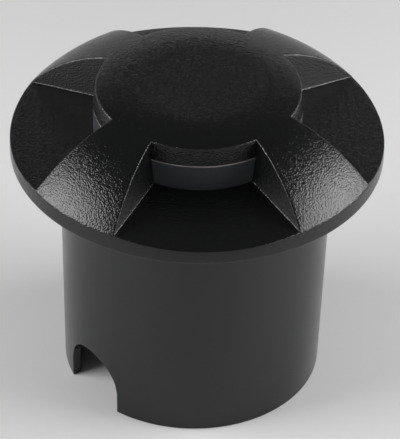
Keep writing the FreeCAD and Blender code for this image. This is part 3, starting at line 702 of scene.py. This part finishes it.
def cover_patches():
    """Grids of one eighth of the cover; neighbours share their edge points."""
    flat_columns, foot_steps, leg_columns, round_steps = 14, 3, 14, 4
    floor_columns = flat_columns + foot_steps
    jamb_steps, soffit_steps, skirt_steps = 8, 2, 6
    share = np.linspace(0, 1, floor_columns + 1)
    flat_share = np.linspace(0, 1, flat_columns + 1)
    leg_share = np.linspace(0, 1, leg_columns + 1)

    # crown, down to the rounding of the boss's edge
    edge_z = dome_at(boss_radius)
    notch = on_wall(boss_radius, edge_z)
    mitre = bearing(notch) + edge_round / boss_radius
    to_leg = np.linspace(mitre, eighth, leg_columns + 1)[1:]
    spread = np.concatenate([np.linspace(0, mitre, floor_columns + 1), to_leg])
    slope = np.linspace(crown_flat_radius, boss_radius - edge_round, 9)[1:]
    radii = np.concatenate([np.linspace(0, crown_flat_radius, 6), slope])
    crown = polar(radii[:, None], spread, dome_at(radii)[:, None])

    # the boss's rounded edge and drafted skirt, over the window
    skirt_z = np.linspace(edge_z - edge_round, cavity_top, skirt_steps + 1)
    skirt_corner = on_wall(boss_at(skirt_z), skirt_z)
    skirt_angle = bearing(skirt_corner)[:, None] * share
    skirt = polar(boss_at(skirt_z)[:, None], skirt_angle, skirt_z[:, None])
    lip = polar(boss_radius, bearing(notch) * share, edge_z)
    boss_edge = rounded(crown[-1, : floor_columns + 1], lip, skirt[0], round_steps)

    # stations along a leg: floor, side wall, rounded leg edge and leg top
    stations = np.linspace(throat_radius, rim_radius - edge_round * 0.8, 19)
    top = dome_at(stations)
    foot = wall_foot(stations)
    leg_round = np.minimum(edge_round, 0.45 * (top - foot[:, 2]))
    hollow = np.minimum(foot_round, 0.45 * (top - foot[:, 2]))
    edge = on_wall(stations, top)
    below = on_wall(stations, top - leg_round)
    above = on_wall(stations, foot[:, 2] + hollow)
    start = bearing(edge) + leg_round / stations
    floor_angle = (bearing(foot) - hollow / stations)[:, None] * flat_share
    around = stations[:, None]
    floor = polar(around, floor_angle, recess_floor(around, floor_angle))
    foot_curve = np.swapaxes(rounded(floor[:, -1], foot, above, foot_steps), 0, 1)
    jamb_z = np.linspace(above[0, 2], cavity_top, jamb_steps + 1)
    over_z = np.linspace(cavity_top, below[0, 2], soffit_steps + skirt_steps + 1)[1:]
    wall_z = np.concatenate([jamb_z, over_z])
    rise = (wall_z - wall_z[0]) / (wall_z[-1] - wall_z[0])
    wall = above[:, None] + (below - above)[:, None] * rise[:, None]
    inner_leg = polar(stations, start, top)
    corner_round = np.swapaxes(rounded(below, edge, inner_leg, round_steps), 0, 1)
    leg_angle = between(start, np.full_like(start, eighth), leg_columns).T
    leg = polar(around, leg_angle, top[:, None])
    strips = [foot_curve, wall, corner_round, leg]
    outer = np.concatenate([floor] + [strip[:, 1:] for strip in strips], axis=1)

    # shoulder between the boss's corner and the first station
    soffit = between(wall[0, jamb_steps], skirt_corner[-1], soffit_steps)
    crown_end = crown[-1, floor_columns + 1 :]
    corner_row = [soffit, skirt_corner[::-1][1:], boss_edge[::-1, -1][1:], crown_end]
    shoulder = np.stack([np.concatenate(corner_row), outer[0, floor_columns + jamb_steps :]])

    # rim: rounded top edge, upright wall, rounded lower edge
    rim_foot = float(bearing(wall_foot(np.array([rim_radius - 0.25])))[0])
    wall_columns = outer.shape[1] - floor_columns - leg_columns - 2
    rim_leg = np.linspace(rim_foot, eighth, leg_columns + 1)
    repeats = np.full(foot_steps + wall_columns, rim_foot)
    rim_angle = np.concatenate([rim_foot * flat_share, repeats, rim_leg])
    rim_top = recess_floor(rim_radius, rim_angle)
    line, side, low, turn, rim_under = rings(
        rim_angle,
        (rim_radius, rim_top),
        (rim_radius, rim_top - edge_round),
        (rim_radius, rim_z + rim_corner),
        (rim_radius, rim_z),
        (rim_radius - rim_corner, rim_z),
    )
    upper = rounded(outer[-1], line, side, round_steps)
    lower = rounded(low, turn, rim_under, round_steps)
    rim = np.concatenate([upper, between(side, low, 3)[1:], lower[1:]])

    # underside with its leg pocket; leg-local x runs out along the leg and y towards the recess
    columns = rim_under.shape[0]
    keep = np.r_[0 : floor_columns + 1, columns - leg_columns : columns]
    far_column = floor_columns + 4
    near_column = floor_columns + leg_columns - 2
    sill = outer[0, : floor_columns + 1]
    to_leg = np.linspace(bearing(sill[-1]), eighth, leg_columns + 1)[1:]
    inner_angle = np.concatenate([bearing(sill), to_leg])

    def pocket_line(x):
        """Row at a distance out along the leg: an arc from the recess's middle to the pocket,
        then a straight line square to the leg over the pocket and the rib."""
        side = np.linspace(0, eighth - math.atan2(pocket_far, x), far_column + 1)
        around = polar(math.hypot(x, pocket_far), side, rim_z)
        over = np.linspace(pocket_far, pocket_near, near_column - far_column + 1)[1:]
        rib = np.linspace(pocket_near, 0, floor_columns + leg_columns - near_column + 1)[1:]
        lateral = np.concatenate([over, rib])
        across = polar(np.hypot(x, lateral), eighth - np.arctan2(lateral, x), rim_z)
        return np.concatenate([around, across])

    lines = np.stack([pocket_line(x) for x in np.linspace(pocket_outer, pocket_inner, 7)])
    mouth = lines[:, far_column : near_column + 1]
    ceiling = mouth.copy()
    ceiling[..., 2] = dome_at(np.hypot(mouth[..., 0], mouth[..., 1]), pocket_cover)
    sides = [np.s_[0], np.s_[-1], np.s_[:, 0], np.s_[:, -1]]
    pocket = [ceiling] + [np.stack([mouth[spot], ceiling[spot]]) for spot in sides]

    # inside: seal seat, spigot, lens cavity, shoulder, window openings, crown pocket
    inside = rings(
        inner_angle,
        (seal_seat_radius, rim_z),
        (seal_seat_radius, seal_seat_top),
        (spigot_radius, seal_seat_top),
        (spigot_radius, spigot_top),
        (cavity_radius, spigot_top),
        (cavity_radius, shoulder_z + lens_gap),
        (throat_radius, shoulder_z + lens_gap),
    )
    leg_ledge = polar(throat_radius, inner_angle[floor_columns + 1 :], sill[-1, 2])
    inside = np.concatenate([inside, [np.concatenate([sill, leg_ledge])]])
    under = [np.stack([rim_under[keep], lines[0]]), lines[:, : far_column + 1]]
    under += [lines[:, near_column:], np.stack([lines[-1], inside[0]])]
    jamb = outer[0, floor_columns : floor_columns + jamb_steps + 1]
    jamb_angle = bearing(jamb)[:, None]
    pillar_angle = jamb_angle + (eighth - jamb_angle) * leg_share
    pillar = polar(throat_radius, pillar_angle, jamb[:, 2:])
    pillar[:, 0] = jamb
    soffit_angle = bearing(soffit)[:, None]
    soffit_radius = np.hypot(soffit[:, :1], soffit[:, 1:2])
    leg_soffit_angle = soffit_angle + (eighth - soffit_angle) * leg_share
    leg_soffit = polar(soffit_radius, leg_soffit_angle, cavity_top)
    pillar[-1] = leg_soffit[0]
    last = bearing(soffit[-1])
    pocket_angle = np.concatenate([last * share, np.linspace(last, eighth, leg_columns + 1)[1:]])
    ceiling_z = crown_z - crown_thickness
    crown_pocket = rings(
        pocket_angle,
        (crown_pocket_radius, cavity_top),
        (crown_pocket_radius, ceiling_z),
        (crown_pocket_radius / 2, ceiling_z),
        (0.0, ceiling_z),
    )
    soffit_edge = np.concatenate([skirt[-1], leg_soffit[-1, 1:]])
    crown_inside = np.concatenate([[soffit_edge], crown_pocket])
    shell = [crown, boss_edge, skirt, outer, shoulder, rim, inside, pillar, leg_soffit]
    return shell + [crown_inside] + under + pocket


cover = turned(mirrored(cover_patches()), quarter_turns)
piece("cover_casting", cover, "powder_coat", "light_head", "turret_cover")


# ---- Lens -------------------------------------------------------------------------
def lens_cup():
    """The cup's profile: foot, shoulder, the narrower wall that shows in the windows, rounded
    top edge, roof, and the bore below it."""
    side = (window_radius, window_top - lens_corner)
    top = (window_radius - lens_corner, window_top)
    bore = lens_radius - lens_wall
    inner = lens_top - lens_roof
    profile = [(lens_radius, deck_z), (lens_radius, shoulder_z), (window_radius, shoulder_z)]
    profile += [tuple(point) for point in rounded(side, (window_radius, window_top), top, 4)]
    return lathed(profile + [(0.0, window_top), (0.0, inner), (bore, inner), (bore, deck_z)])


piece("lens_cup", [lens_cup()], "frosted_lens", "light_head", "diffuser")


# ---- Ground sleeve ----------------------------------------------------------------
def sleeve_patches():
    """Outer and inner cones with the cable arch.

    Columns across the arch keep their sideways distance, so the arch is a straight slot with
    a half-round head; the columns beyond it share the rest of the circle equally.
    """
    arch_columns, round_columns, rows, foot_rows = 24, 96, 14, 3
    spring = arch_height - arch_half_width
    across = arch_half_width * np.sin(np.linspace(-math.pi / 2, math.pi / 2, arch_columns + 1))
    head = spring + np.sqrt(np.maximum(arch_half_width**2 - across**2, 0))

    def radius_at(z, wall):
        """Radius at a height, less a wall: it grows evenly from the foot to the mouth."""
        return sleeve_mouth_radius - sleeve_taper * (1 - z / sleeve_height) - wall

    def flank(z, wall):
        """Rows round from one side of the slot to the other, in equal angles."""
        radius = radius_at(z, wall)
        start = np.arcsin(arch_half_width / radius)
        angle = start + (math.tau - 2 * start) * np.linspace(0, 1, round_columns + 1)
        return polar(radius, angle, z)

    def shell(wall):
        """Grids over the arch, beyond it down to its spring line, and beside its foot."""
        t = np.linspace(0, 1, rows + 1)[:, None]
        z = head + (sleeve_height - head) * t
        x = np.sqrt(radius_at(z, wall) ** 2 - across**2)
        front = np.stack([x, np.broadcast_to(across, z.shape), z], axis=-1)
        back = flank(spring + (sleeve_height - spring) * t, wall)
        return front, back, flank(np.linspace(0, spring, foot_rows + 1)[:, None], wall)

    outer, inner = shell(0.0), shell(sleeve_wall)
    patches = [*outer, *inner]
    patches += [np.stack([outer[grid][-1], inner[grid][-1]]) for grid in (0, 1)]
    patches += [np.stack([outer[grid][0], inner[grid][0]]) for grid in (0, 2)]
    patches += [np.stack([outer[2][:, side], inner[2][:, side]]) for side in (0, -1)]
    return turned(patches, [arch_bearing])


sleeve = piece("sleeve_moulding", sleeve_patches(), "moulded_black", "sleeve", "ground_sleeve")
rounded_edges(sleeve, sleeve_edge_round, 3, 40)


# ---- Seals ------------------------------------------------------------------------
def seal(name, node, wall, size, slot, body="light_head"):
    """A seal's rounded oblong section, turned: its outside and levels are its node's."""
    low, high = low_high(node)
    corners = four_corners(high[0] - wall, high[0], low[2], high[2])
    piece(name, [lathed(softened(corners, size))], slot, body, node)


lens_seat = lens_gap + lens_wall + 0.3    # from the casting to just inside the cup's wall
seal("foam_ring", "mouth_seal", sleeve_wall - 0.4, 0.35, "foam_rubber", "sleeve")
seal("lens_ring", "diffuser_gasket", lens_seat, 0.4, "silicone")
seal("gland_ring", "gland_washer", 1.75, 0.3, "foam_rubber")


# ---- Screws -----------------------------------------------------------------------
def socket_screw(seat, reach, x=0.0, y=0.0):
    """Cap screw whose head lies on seat, as rows round it: tip, threaded shank, head with a
    rounded edge, hexagon socket with its drill point.  Heights run from the seat along the
    screw, up if reach is positive and down if not."""
    way = math.copysign(1, reach)
    length = abs(reach)
    angles = np.linspace(0, math.tau, 37)
    root = screw_radius - screw_thread_depth
    socket = hexagon_radius(screw_socket_across, angles)
    top = -screw_head_height
    floor = top + screw_socket_depth
    shank = thread(
        screw_radius,
        screw_thread_depth,
        screw_pitch,
        seat + way * (length - screw_end - screw_runout),
        seat + way * (screw_end + 2 * screw_runout),
        angles,
    )
    side = (screw_head_radius, top + screw_head_round)
    face = (screw_head_radius - screw_head_round, top)
    tip = rings(
        angles,
        (0.0, reach),
        (root - screw_tip_bevel, reach),
        (root, way * (length - screw_end)),
    )
    rows = [(root, screw_end + screw_runout), (screw_radius, screw_end), (screw_radius, 0.0)]
    rows += [(screw_head_radius - screw_head_bevel, 0.0), (screw_head_radius, -screw_head_bevel)]
    rows += [tuple(spot) for spot in rounded(side, (screw_head_radius, top), face, 4)]
    rows += [(socket + screw_socket_bevel, top), (socket, top + screw_socket_bevel)]
    rows += [(socket, floor), (0.0, floor + screw_drill_point)]
    head = rings(angles, *[(radius, way * z) for radius, z in rows])
    lift = np.array([0, 0, seat])
    return np.concatenate([tip + lift, shank, head + lift]) + np.array([x, y, 0])


cap_screw_circle = can_radius - can_wall - cap_boss_inset
# name, node, circle and angles of the screws, and which way they point
for name, node, circle, angles, way in (
    ("cover_bolts", "cover_screws", cover_screw_circle, leg_angles, 1),
    ("cap_bolts", "cap_screws", cap_screw_circle, leg_angles, 1),
    ("driver_bolts", "driver_screws", standoff_circle, standoff_angles, 1),
    ("board_bolts", "board_screws", board_radius - board_screw_inset, leg_angles, -1),
    ("reflector_bolt", "reflector_screw", 0.0, [0.0], -1),
):
    head_end, tip_end = levels(node)[::way]
    seat = head_end + way * screw_head_height
    spots = [(circle * math.cos(angle), circle * math.sin(angle)) for angle in angles]
    screws = [socket_screw(seat, tip_end - seat, *spot) for spot in spots]
    piece(name, screws, "stainless", "light_head", node, crease=28.0)


# ---- Cable gland ------------------------------------------------------------------
round_angles = np.linspace(0, math.tau, 97)


def gland_thread(start, end):
    """The gland's thread between two heights."""
    sizes = gland_thread_radius, gland_thread_depth, gland_pitch
    return thread(*sizes, start, end, round_angles, 10)


def gland_core():
    """Rows down the outside and up the bore: threaded spigot, chamfered hexagon, threaded
    barrel with a rounded mouth, seal socket and throat."""
    end, top = levels("gland_body")
    flange_low = end + gland_barrel
    flange_top = flange_low + gland_flange_height
    root = gland_thread_radius - gland_thread_depth
    socket_end = end + gland_socket_depth
    throat = (gland_throat_radius, top)
    spigot = rings(round_angles, throat, (root - gland_bevel, top), (root, top - gland_bevel))
    mouth = rings(
        round_angles,
        (root, end + 0.3),
        (root - gland_bevel, end),
        (gland_bore_radius + gland_bevel, end),
        (gland_bore_radius, end + gland_bevel),
        (gland_bore_radius, socket_end),
        (gland_throat_radius, socket_end),
        throat,
    )
    return np.concatenate(
        [
            spigot,
            gland_thread(top - gland_runout, flange_top + gland_runout),
            rings(round_angles, (root, flange_top)),
            hexagon_side(gland_flange_across, flange_top, flange_low, round_angles),
            rings(round_angles, (root, flange_low)),
            gland_thread(flange_low - gland_runout, end + 0.5),
            mouth,
        ]
    )


def gland_bush():
    """Rubber bush, turned: rounded ends, and a bore with four soft ribs that grip the cable."""
    low, high = low_high("gland_seal")
    outer, bore_radius = high[0], gland_cable_radius
    z = np.linspace(high[2] - 0.6, low[2] + 0.6, 41)
    ripple = bush_rib * np.sin(np.linspace(0, 2 * math.tau, 41)) ** 2
    bore = list(zip((bore_radius + ripple).tolist(), z.tolist()))
    corners = [(bore_radius, low[2]), (outer, low[2]), (outer, high[2])]
    outside = softened(corners, bush_round)[5:]
    mouth = bore_radius + bush_mouth
    return lathed(outside + [(mouth, high[2])] + bore + [(mouth, low[2])])


def clamp_nut():
    """Rows round the nut: chamfered hexagon, lip with a rounded opening, and the bore."""
    low, high = levels("gland_nut")
    seat = low + gland_nut_wall
    bore = gland_thread_radius + 0.1
    side = hexagon_side(gland_nut_across, high, low, round_angles)
    inside = rings(
        round_angles,
        (gland_nut_opening + 0.6, low),
        (gland_nut_opening + 0.15, low + 0.2),
        (gland_nut_opening, low + 0.7),
        (gland_nut_opening, seat),
        (bore, seat),
        (bore, high - 0.5),
        (bore + 0.4, high),
    )
    return np.concatenate([side, inside, side[:1]])


piece("gland_core", [gland_core()], "nylon_black", "light_head", "gland_body")
piece("gland_bush", [gland_bush()], "foam_rubber", "gland_insert", "gland_seal")
piece("clamp_nut", [clamp_nut()], "nylon_black", "clamp_nut", "gland_nut")


# ---- Light source -----------------------------------------------------------------
def flare():
    """Reflector, turned: a post, then a flare whose two faces are quadratic curves from the
    post's neck out to the lip."""
    low, high = low_high("reflector")
    lip, foot_z, lip_z = high[0], low[2], high[2]
    post, bore, wall, neck_height, bore_height, bevel = 4.5, 1.7, 1.2, 1.9, 3.1, 0.3
    neck = np.array([post, foot_z + neck_height])
    edge = np.array([lip, lip_z - wall])
    under = rounded(neck, (neck + edge) / 2 - np.array([0, 2 * wall]), edge, 16)
    over = under + np.array([0, wall])
    corners = [(bore, foot_z), (post, foot_z)] + [tuple(spot) for spot in under]
    corners += [(lip, lip_z - bevel), (lip - bevel, lip_z)]
    return lathed(corners + [tuple(spot) for spot in over[-2::-1]] + [(bore, foot_z + bore_height)])


def chips(sizes, rows):
    """Three rounded oblongs before each window, one chip pitch apart on the board's ring."""
    one = oblong(*sizes, *rows) + np.array([chip_circle, 0, 0])
    steps = [chip_pitch * index for index in (-1, 0, 1)]
    return turned([one], [quarter + step for quarter in quarter_turns for step in steps])


def lead_plug():
    """Moulded plug: a rounded oblong with a bevelled top edge and a shallow step in it."""
    low, high = low_high("lead_connector")
    half_y = (high[1] - low[1]) / 2
    top = high[2]
    rows = [(shut, low[2]), (0, low[2]), (0, top - 0.5), (0.5, top), (1.4, top)]
    rows += [(1.5, top - 0.3), (shut, top - 0.3)]
    return oblong(high[0], half_y, 0.6, *rows) + middle_of("lead_connector") * [0, 1, 0]


low, top = levels("led_chips")
package = [(shut, low), (0, low), (0, top - 0.12), (0.12, top), (0.42, top)]
package += [(0.5, top - 0.18), (shut, top - 0.18)]
drop = [(shut, low + 0.4), (0, low + 0.4), (0, top - 0.16), (0.3, top - 0.1), (shut, top - 0.07)]
packages, drops = chips(chip_package, package), chips(chip_drop, drop)
piece("chip_packages", packages, "connector_white", "light_head", "led_chips")
piece("chip_gel", drops, "phosphor", "light_head", "led_chips")
piece("flare", [flare()], "reflector_white", "light_head", "reflector")
piece("lead_plug", [lead_plug()], "connector_white", "light_head", "lead_connector")


# ---- Driver -----------------------------------------------------------------------
def capacitor_can():
    """Drawn can in its sleeve, turned: a crimp near the board, and a lip round the end."""
    low, top = levels("driver_capacitor")
    radius = 5.0
    corners = [(0.0, top, 0), (radius, top, 0.5), (radius, top - 1.6, 0.4)]
    corners += [(radius - 0.5, top - 2.0, 0.4), (radius, top - 2.4, 0.4), (radius, low, 0.8)]
    corners += [(radius - 1, low, 0.2), (radius - 1, low + 0.3, 0.1), (0.0, low + 0.3, 0)]
    return lathed(softened(corners, 0.3), 48) + middle_of("driver_capacitor")


def capacitor_end():
    """Bare disc inside the lip, turned."""
    low = levels("driver_capacitor")[0] + 0.25
    radius, top = 3.95, low + 0.4
    corners = [(0.0, low, 0), (radius, low, 0.2), (radius, top, 0.1), (0.0, top, 0)]
    return lathed(softened(corners, 0.2), 48) + middle_of("driver_capacitor")


def choke_winding():
    """Wire wound round a ring: it circles the ring's oblong section 24 times while it goes once
    round the axis.  The section is a superellipse: cosine and sine to the power 0.5."""
    low, high = low_high("driver_choke")
    outer, inner, z_middle = (high[0] - low[0]) / 2, 1.8, (low[2] + high[2]) / 2
    turns, samples, thickness = 24, 18, 0.36
    step = np.arange(-4, turns * samples + 5) / (turns * samples) * math.tau
    cosine, sine = np.cos(turns * step), np.sin(turns * step)
    out = np.sign(cosine) * np.abs(cosine) ** 0.5
    rise = np.sign(sine) * np.abs(sine) ** 0.5
    radius = (outer + inner) / 2 + ((outer - inner) / 2 - thickness) * out
    path = polar(radius, step, z_middle + ((high[2] - low[2]) / 2 - thickness) * rise)
    sideways = np.stack([-np.sin(step), np.cos(step), np.zeros_like(step)], axis=-1)
    return wire(path, sideways, thickness, 8)[4:-4] + middle_of("driver_choke")


def choke_core():
    """Ferrite ring inside the winding: a rounded oblong section, turned."""
    low, high = low_high("driver_choke")
    inset, bore = 0.7, 2.5
    outer = (high[0] - low[0]) / 2 - inset
    corners = four_corners(bore, outer, low[2] + inset, high[2] - inset)
    return lathed(softened(corners, 0.3), 48) + middle_of("driver_choke")


def transformer_winding():
    """Coil on the core's centre leg: the radius ripples by one arch for each 0.5 mm wire, and
    the bobbin's flanges close its ends."""
    low, top = levels("driver_transformer")
    flange, hub, coil_radius, turns, samples = 3.9, 2.0, 5.3, 10, 8
    start, end = low + flange, top - flange
    z = np.linspace(start, end, turns * samples + 1)
    ripple = 0.18 * np.abs(np.sin(np.linspace(0, turns * math.pi, z.size)))
    coil = list(zip((coil_radius + ripple).tolist(), z.tolist()))
    return lathed([(hub, start)] + coil + [(hub, end)], 48) + middle_of("driver_transformer")


def clamp_screws():
    """Domed brass heads, one over each wire hole, on the terminal's lower face."""
    low = levels("terminal_block")[0]
    radius, dome_height, pitch = 1.6, 0.5, 5.0
    arc = np.linspace(0, math.pi / 2, 6)
    dome = [(radius * math.cos(t), low - dome_height * math.sin(t)) for t in arc]
    head = lathed([(0.0, low + 0.5), (radius, low + 0.5)] + dome, 24)
    middle = middle_of("terminal_block")
    return [head + middle + np.array([pitch * way, 0.5, 0]) for way in (-1, 0, 1)]


# name, patches, finish, the node that it replaces, and from which turn an edge is sharp
for name, patches, slot, nodes, crease in (
    ("capacitor_can", [capacitor_can()], "capacitor_sleeve", ["driver_capacitor"], 35.0),
    ("capacitor_end", [capacitor_end()], "cast_aluminium", ["driver_capacitor"], 35.0),
    ("choke_winding", [choke_winding()], "winding", ["driver_choke"], 60.0),
    ("choke_core", [choke_core()], "ferrite", ["driver_choke"], 35.0),
    ("transformer_winding", [transformer_winding()], "winding", [], 60.0),
    ("terminal_screws", clamp_screws(), "brass", [], 35.0),
):
    piece(name, patches, slot, "light_head", *nodes, crease=crease)

# name, node, finish and width of the easing, of the nodes whose own form is shown
for eased_piece in (
    ("housing_casting", "housing", "cast_aluminium", 0.3),
    ("cap_casting", "bottom_cap", "cast_aluminium", 0.3),
    ("board_disc", "led_board", "board_white", 0.15),
    ("flange_gasket", "cover_gasket", "silicone", 0.25),
    ("transformer_core", "driver_transformer", "ferrite", 0.25),
    ("terminal_housing", "terminal_block", "terminal_grey", 0.3),
    ("board_spacers", "driver_standoffs", "brass", 0.15),
    ("driver_panel", "driver_board", "board_green", 0.12),
    ("lead_bush", "lead_grommet", "foam_rubber", 0.3),
    ("base_gasket", "cap_gasket", "silicone", 0.25),
):
    eased(*eased_piece)


# ---- Spring ring, circlip and leaf springs ----------------------------------------
def clip_ring():
    """Rounded oblong section carried round; outside, it is cut to a flat before each leaf, where
    the radius is at most flat / cos(angle from the leaf)."""
    inner = can_radius + 0.3
    corners = four_corners(inner, ring_radius, ring_low, ring_top)
    profile = closed(softened(corners, 0.4))
    angles = np.linspace(0, math.tau, 361)
    third = math.tau / 3
    off = (angles + third / 2) % third - third / 2
    cut = np.minimum(ring_flat / np.cos(off), ring_radius) - ring_radius
    outside = profile[:, :1] > (inner + ring_radius) / 2
    return polar(profile[:, :1] + np.where(outside, cut, 0), angles, profile[:, 1:])


def open_clip():
    """Rounded oblong section carried round the groove to the opening; the outside narrows from
    the back towards the ends and widens again to a lug."""
    low, high = low_high("ring_circlip")
    inner, outer = can_radius - circlip_groove, -low[0]
    profile = closed(softened(four_corners(inner, outer, low[2], high[2]), 0.2))
    angles = np.linspace(circlip_half_opening, math.tau - circlip_half_opening, 181)
    lug_angle, blend_angle, narrowest = 0.06, 0.03, 1.1
    from_end = np.minimum(angles - angles[0], angles[-1] - angles)
    lug = 1 - np.clip((from_end - lug_angle) / blend_angle, 0, 1)
    narrowing = -narrowest * (1 + np.cos(angles)) / 2 * (1 - lug)
    outside = profile[:, :1] > (inner + outer) / 2
    band = polar(profile[:, :1] + np.where(outside, narrowing, 0), angles, profile[:, 1:])
    ends = [band[:, side] for side in (0, -1)]
    return [band] + [np.stack([end, np.broadcast_to(end.mean(axis=0), end.shape)]) for end in ends]


def leaf_line():
    """Middle line of a leaf: straight runs joined by quadratic bends: tab, flank down to the
    belly, toe turned in."""
    belly_z = ring_low - leaf_drop
    bore = sleeve_mouth_radius - sleeve_taper * (1 - belly_z / sleeve_height) - sleeve_wall
    belly = math.sqrt(bore**2 - (leaf_width / 2) ** 2) - 0.3
    outside = ring_flat + leaf_thickness
    bend = math.atan2(belly - outside, leaf_drop) + math.atan2(leaf_toe_inset, leaf_toe_drop)
    corner = belly + leaf_belly_radius * (1 / math.cos(bend / 2) - 1)
    spots = np.array(
        [
            (outside, ring_low + leaf_tab),
            (outside, ring_low - 0.6),
            (corner, belly_z),
            (corner - leaf_toe_inset, belly_z - leaf_toe_drop),
        ]
    )
    spots[:, 0] -= leaf_thickness / 2
    runs = np.diff(spots, axis=0)
    runs /= np.linalg.norm(runs, axis=1, keepdims=True)
    bends = []
    for index, size in ((1, leaf_knee), (2, leaf_belly_radius * math.tan(bend / 2))):
        before = spots[index] - runs[index - 1] * size
        bends.append(rounded(before, spots[index], spots[index] + runs[index] * size, 8))
    tab = between(spots[0], bends[0][0], 10)[:-1]
    flank = between(bends[0][-1], bends[1][0], 12)[1:-1]
    toe = between(bends[1][-1], spots[3], 10)[1:]
    return np.concatenate([tab, bends[0], flank, bends[1], toe])


def leaf_strip():
    """Strip of one leaf along +X: a rounded oblong section is carried along its middle line,
    square to it, and narrowed near the ends so that their corners are round."""
    half, deep = leaf_width / 2, leaf_thickness / 2
    line = leaf_line()
    direction = np.gradient(line, axis=0)
    direction /= np.linalg.norm(direction, axis=1, keepdims=True)
    normal = np.stack([-direction[:, 1], direction[:, 0]], axis=1)
    steps = np.linalg.norm(np.diff(line, axis=0), axis=1)
    travelled = np.concatenate([[0], np.cumsum(steps)])
    from_end = np.minimum(travelled, travelled[-1] - travelled)
    short = np.maximum(leaf_end_round - from_end, 0)
    narrow = leaf_end_round - np.sqrt(np.maximum(leaf_end_round**2 - short**2, 0))
    section = closed(softened(four_corners(-half, half, -deep, deep), 0.12, 3))
    wide = section[:, 0] * (1 - narrow[:, None] / half)
    x = line[:, :1] + normal[:, :1] * section[:, 1]
    z = line[:, 1:] + normal[:, 1:] * section[:, 1]
    grid = np.stack([x, wide, z], axis=-1)
    start, end = grid[:1].copy(), grid[-1:].copy()
    start[..., [0, 2]] = line[0]
    end[..., [0, 2]] = line[-1]
    return np.concatenate([start, grid, end])


def leaf_rivet():
    """Rivet along +X: a domed head on the strip and the shank through it, as a turned profile."""
    seat = ring_flat + leaf_thickness
    inner = seat - rivet_reach
    rise = rivet_head_height - rivet_head_edge
    profile = [(0.0, inner), (rivet_radius, inner), (rivet_radius, seat), (rivet_head_radius, seat)]
    for t in np.linspace(0, 1, 7):
        profile.append((rivet_head_radius * math.sqrt(1 - t**2), seat + rivet_head_edge + rise * t))
    upright = lathed(profile, 32)
    height = (ring_low + ring_top) / 2
    return np.stack([upright[..., 2], upright[..., 0], upright[..., 1] + height], axis=-1)


piece("clip_ring", [clip_ring()], "acetal", "grip_ring", "spring_ring")
piece("open_clip", open_clip(), "spring_steel", "light_head", "ring_circlip")
for letter, angle in leaf_angles.items():
    body, node = "leaf_" + letter, "leaf_spring_" + letter
    strip, rivet = turned([leaf_strip(), leaf_rivet()], [angle])
    piece("leaf_strip_" + letter, [strip], "spring_steel", body, node, crease=50.0)
    piece("leaf_rivet_" + letter, [rivet], "stainless", body, node)


# ---- Floor, light and camera ------------------------------------------------------
def studio():
    """Pale floor, two large softboxes at the sides and a thin strip at the right, under
    surroundings that glow near the horizon and are dark overhead."""
    half = floor_half_width
    mesh = bpy.data.meshes.new("floor")
    corners = [(-half, -half, 0), (half, -half, 0), (half, half, 0), (-half, half, 0)]
    mesh.from_pydata(corners, [], [(0, 1, 2, 3)])
    floor = bpy.data.objects.new("floor", mesh)
    scene = bpy.context.scene
    scene.collection.objects.link(floor)
    pale = surface("floor_pale", {"Roughness": 0.9, "Base Color": srgb("#d4d4d4")})[0]
    mesh.materials.append(pale)

    world = bpy.data.worlds.new("surroundings")
    world.use_nodes = True
    tree = world.node_tree
    heading = add(tree, "ShaderNodeTexCoord").outputs["Generated"]
    height = add(tree, "ShaderNodeSeparateXYZ", {"Vector": heading}).outputs["Z"]
    fade = {"Value": height, "From Max": glow_height}
    fade.update({"To Min": horizon_glow, "To Max": overhead_glow})
    glow = add(tree, "ShaderNodeMapRange", fade, interpolation_type="SMOOTHSTEP")
    background = tree.nodes["Background"]
    background.inputs["Color"].default_value = (1, 1, 1, 1)
    tree.links.new(glow.outputs["Result"], background.inputs["Strength"])
    scene.world = world
    scene.view_settings.view_transform = "Standard"

    target = mathutils.Vector((0, 0, 0.09))
    for name, place, width, height, radiance in softboxes:
        light = bpy.data.lights.new(name, "AREA")
        light.shape = "RECTANGLE"
        light.size = width
        light.size_y = height
        light.energy = radiance * math.pi * width * height
        lamp = bpy.data.objects.new(name, light)
        lamp.location = place
        lamp.rotation_euler = (target - lamp.location).to_track_quat("-Z", "Y").to_euler()
        lamp.visible_camera = False
        scene.collection.objects.link(lamp)


def camera():
    """The photograph's view: a long lens from about 38 degrees above, a little left of the
    front.  Its axes are turned about each other by the roll, and all of it about +Z."""
    unit = rim_radius * MM
    aim = mathutils.Vector((camera_aim[0] * unit, 0, rim_z * MM - camera_aim[1] * unit))
    forward = mathutils.Vector((0, math.cos(camera_height), -math.sin(camera_height)))
    level = mathutils.Vector((1, 0, 0))
    upward = level.cross(forward)
    right = math.cos(camera_roll) * level + math.sin(camera_roll) * upward
    top = math.cos(camera_roll) * upward - math.sin(camera_roll) * level
    place = mathutils.Matrix((right, top, -forward)).transposed().to_4x4()
    place.translation = aim - camera_distance * unit * forward
    data = bpy.data.cameras.new("camera")
    data.sensor_width = 36
    data.lens = camera_focal_mm
    data.clip_start = 0.05
    eye = bpy.data.objects.new("camera", data)
    eye.matrix_world = mathutils.Matrix.Rotation(camera_turn, 4, "Z") @ place
    bpy.context.scene.collection.objects.link(eye)
    bpy.context.scene.camera = eye


# the nodes that keep their own mesh take the finish of their slot
for subpart in frame["record"]["subparts"]:
    node = frame["nodes"][subpart["node"]]
    node.data.materials.clear()
    node.data.materials.append(finishes[subpart["material_slot"]])

studio()
camera()
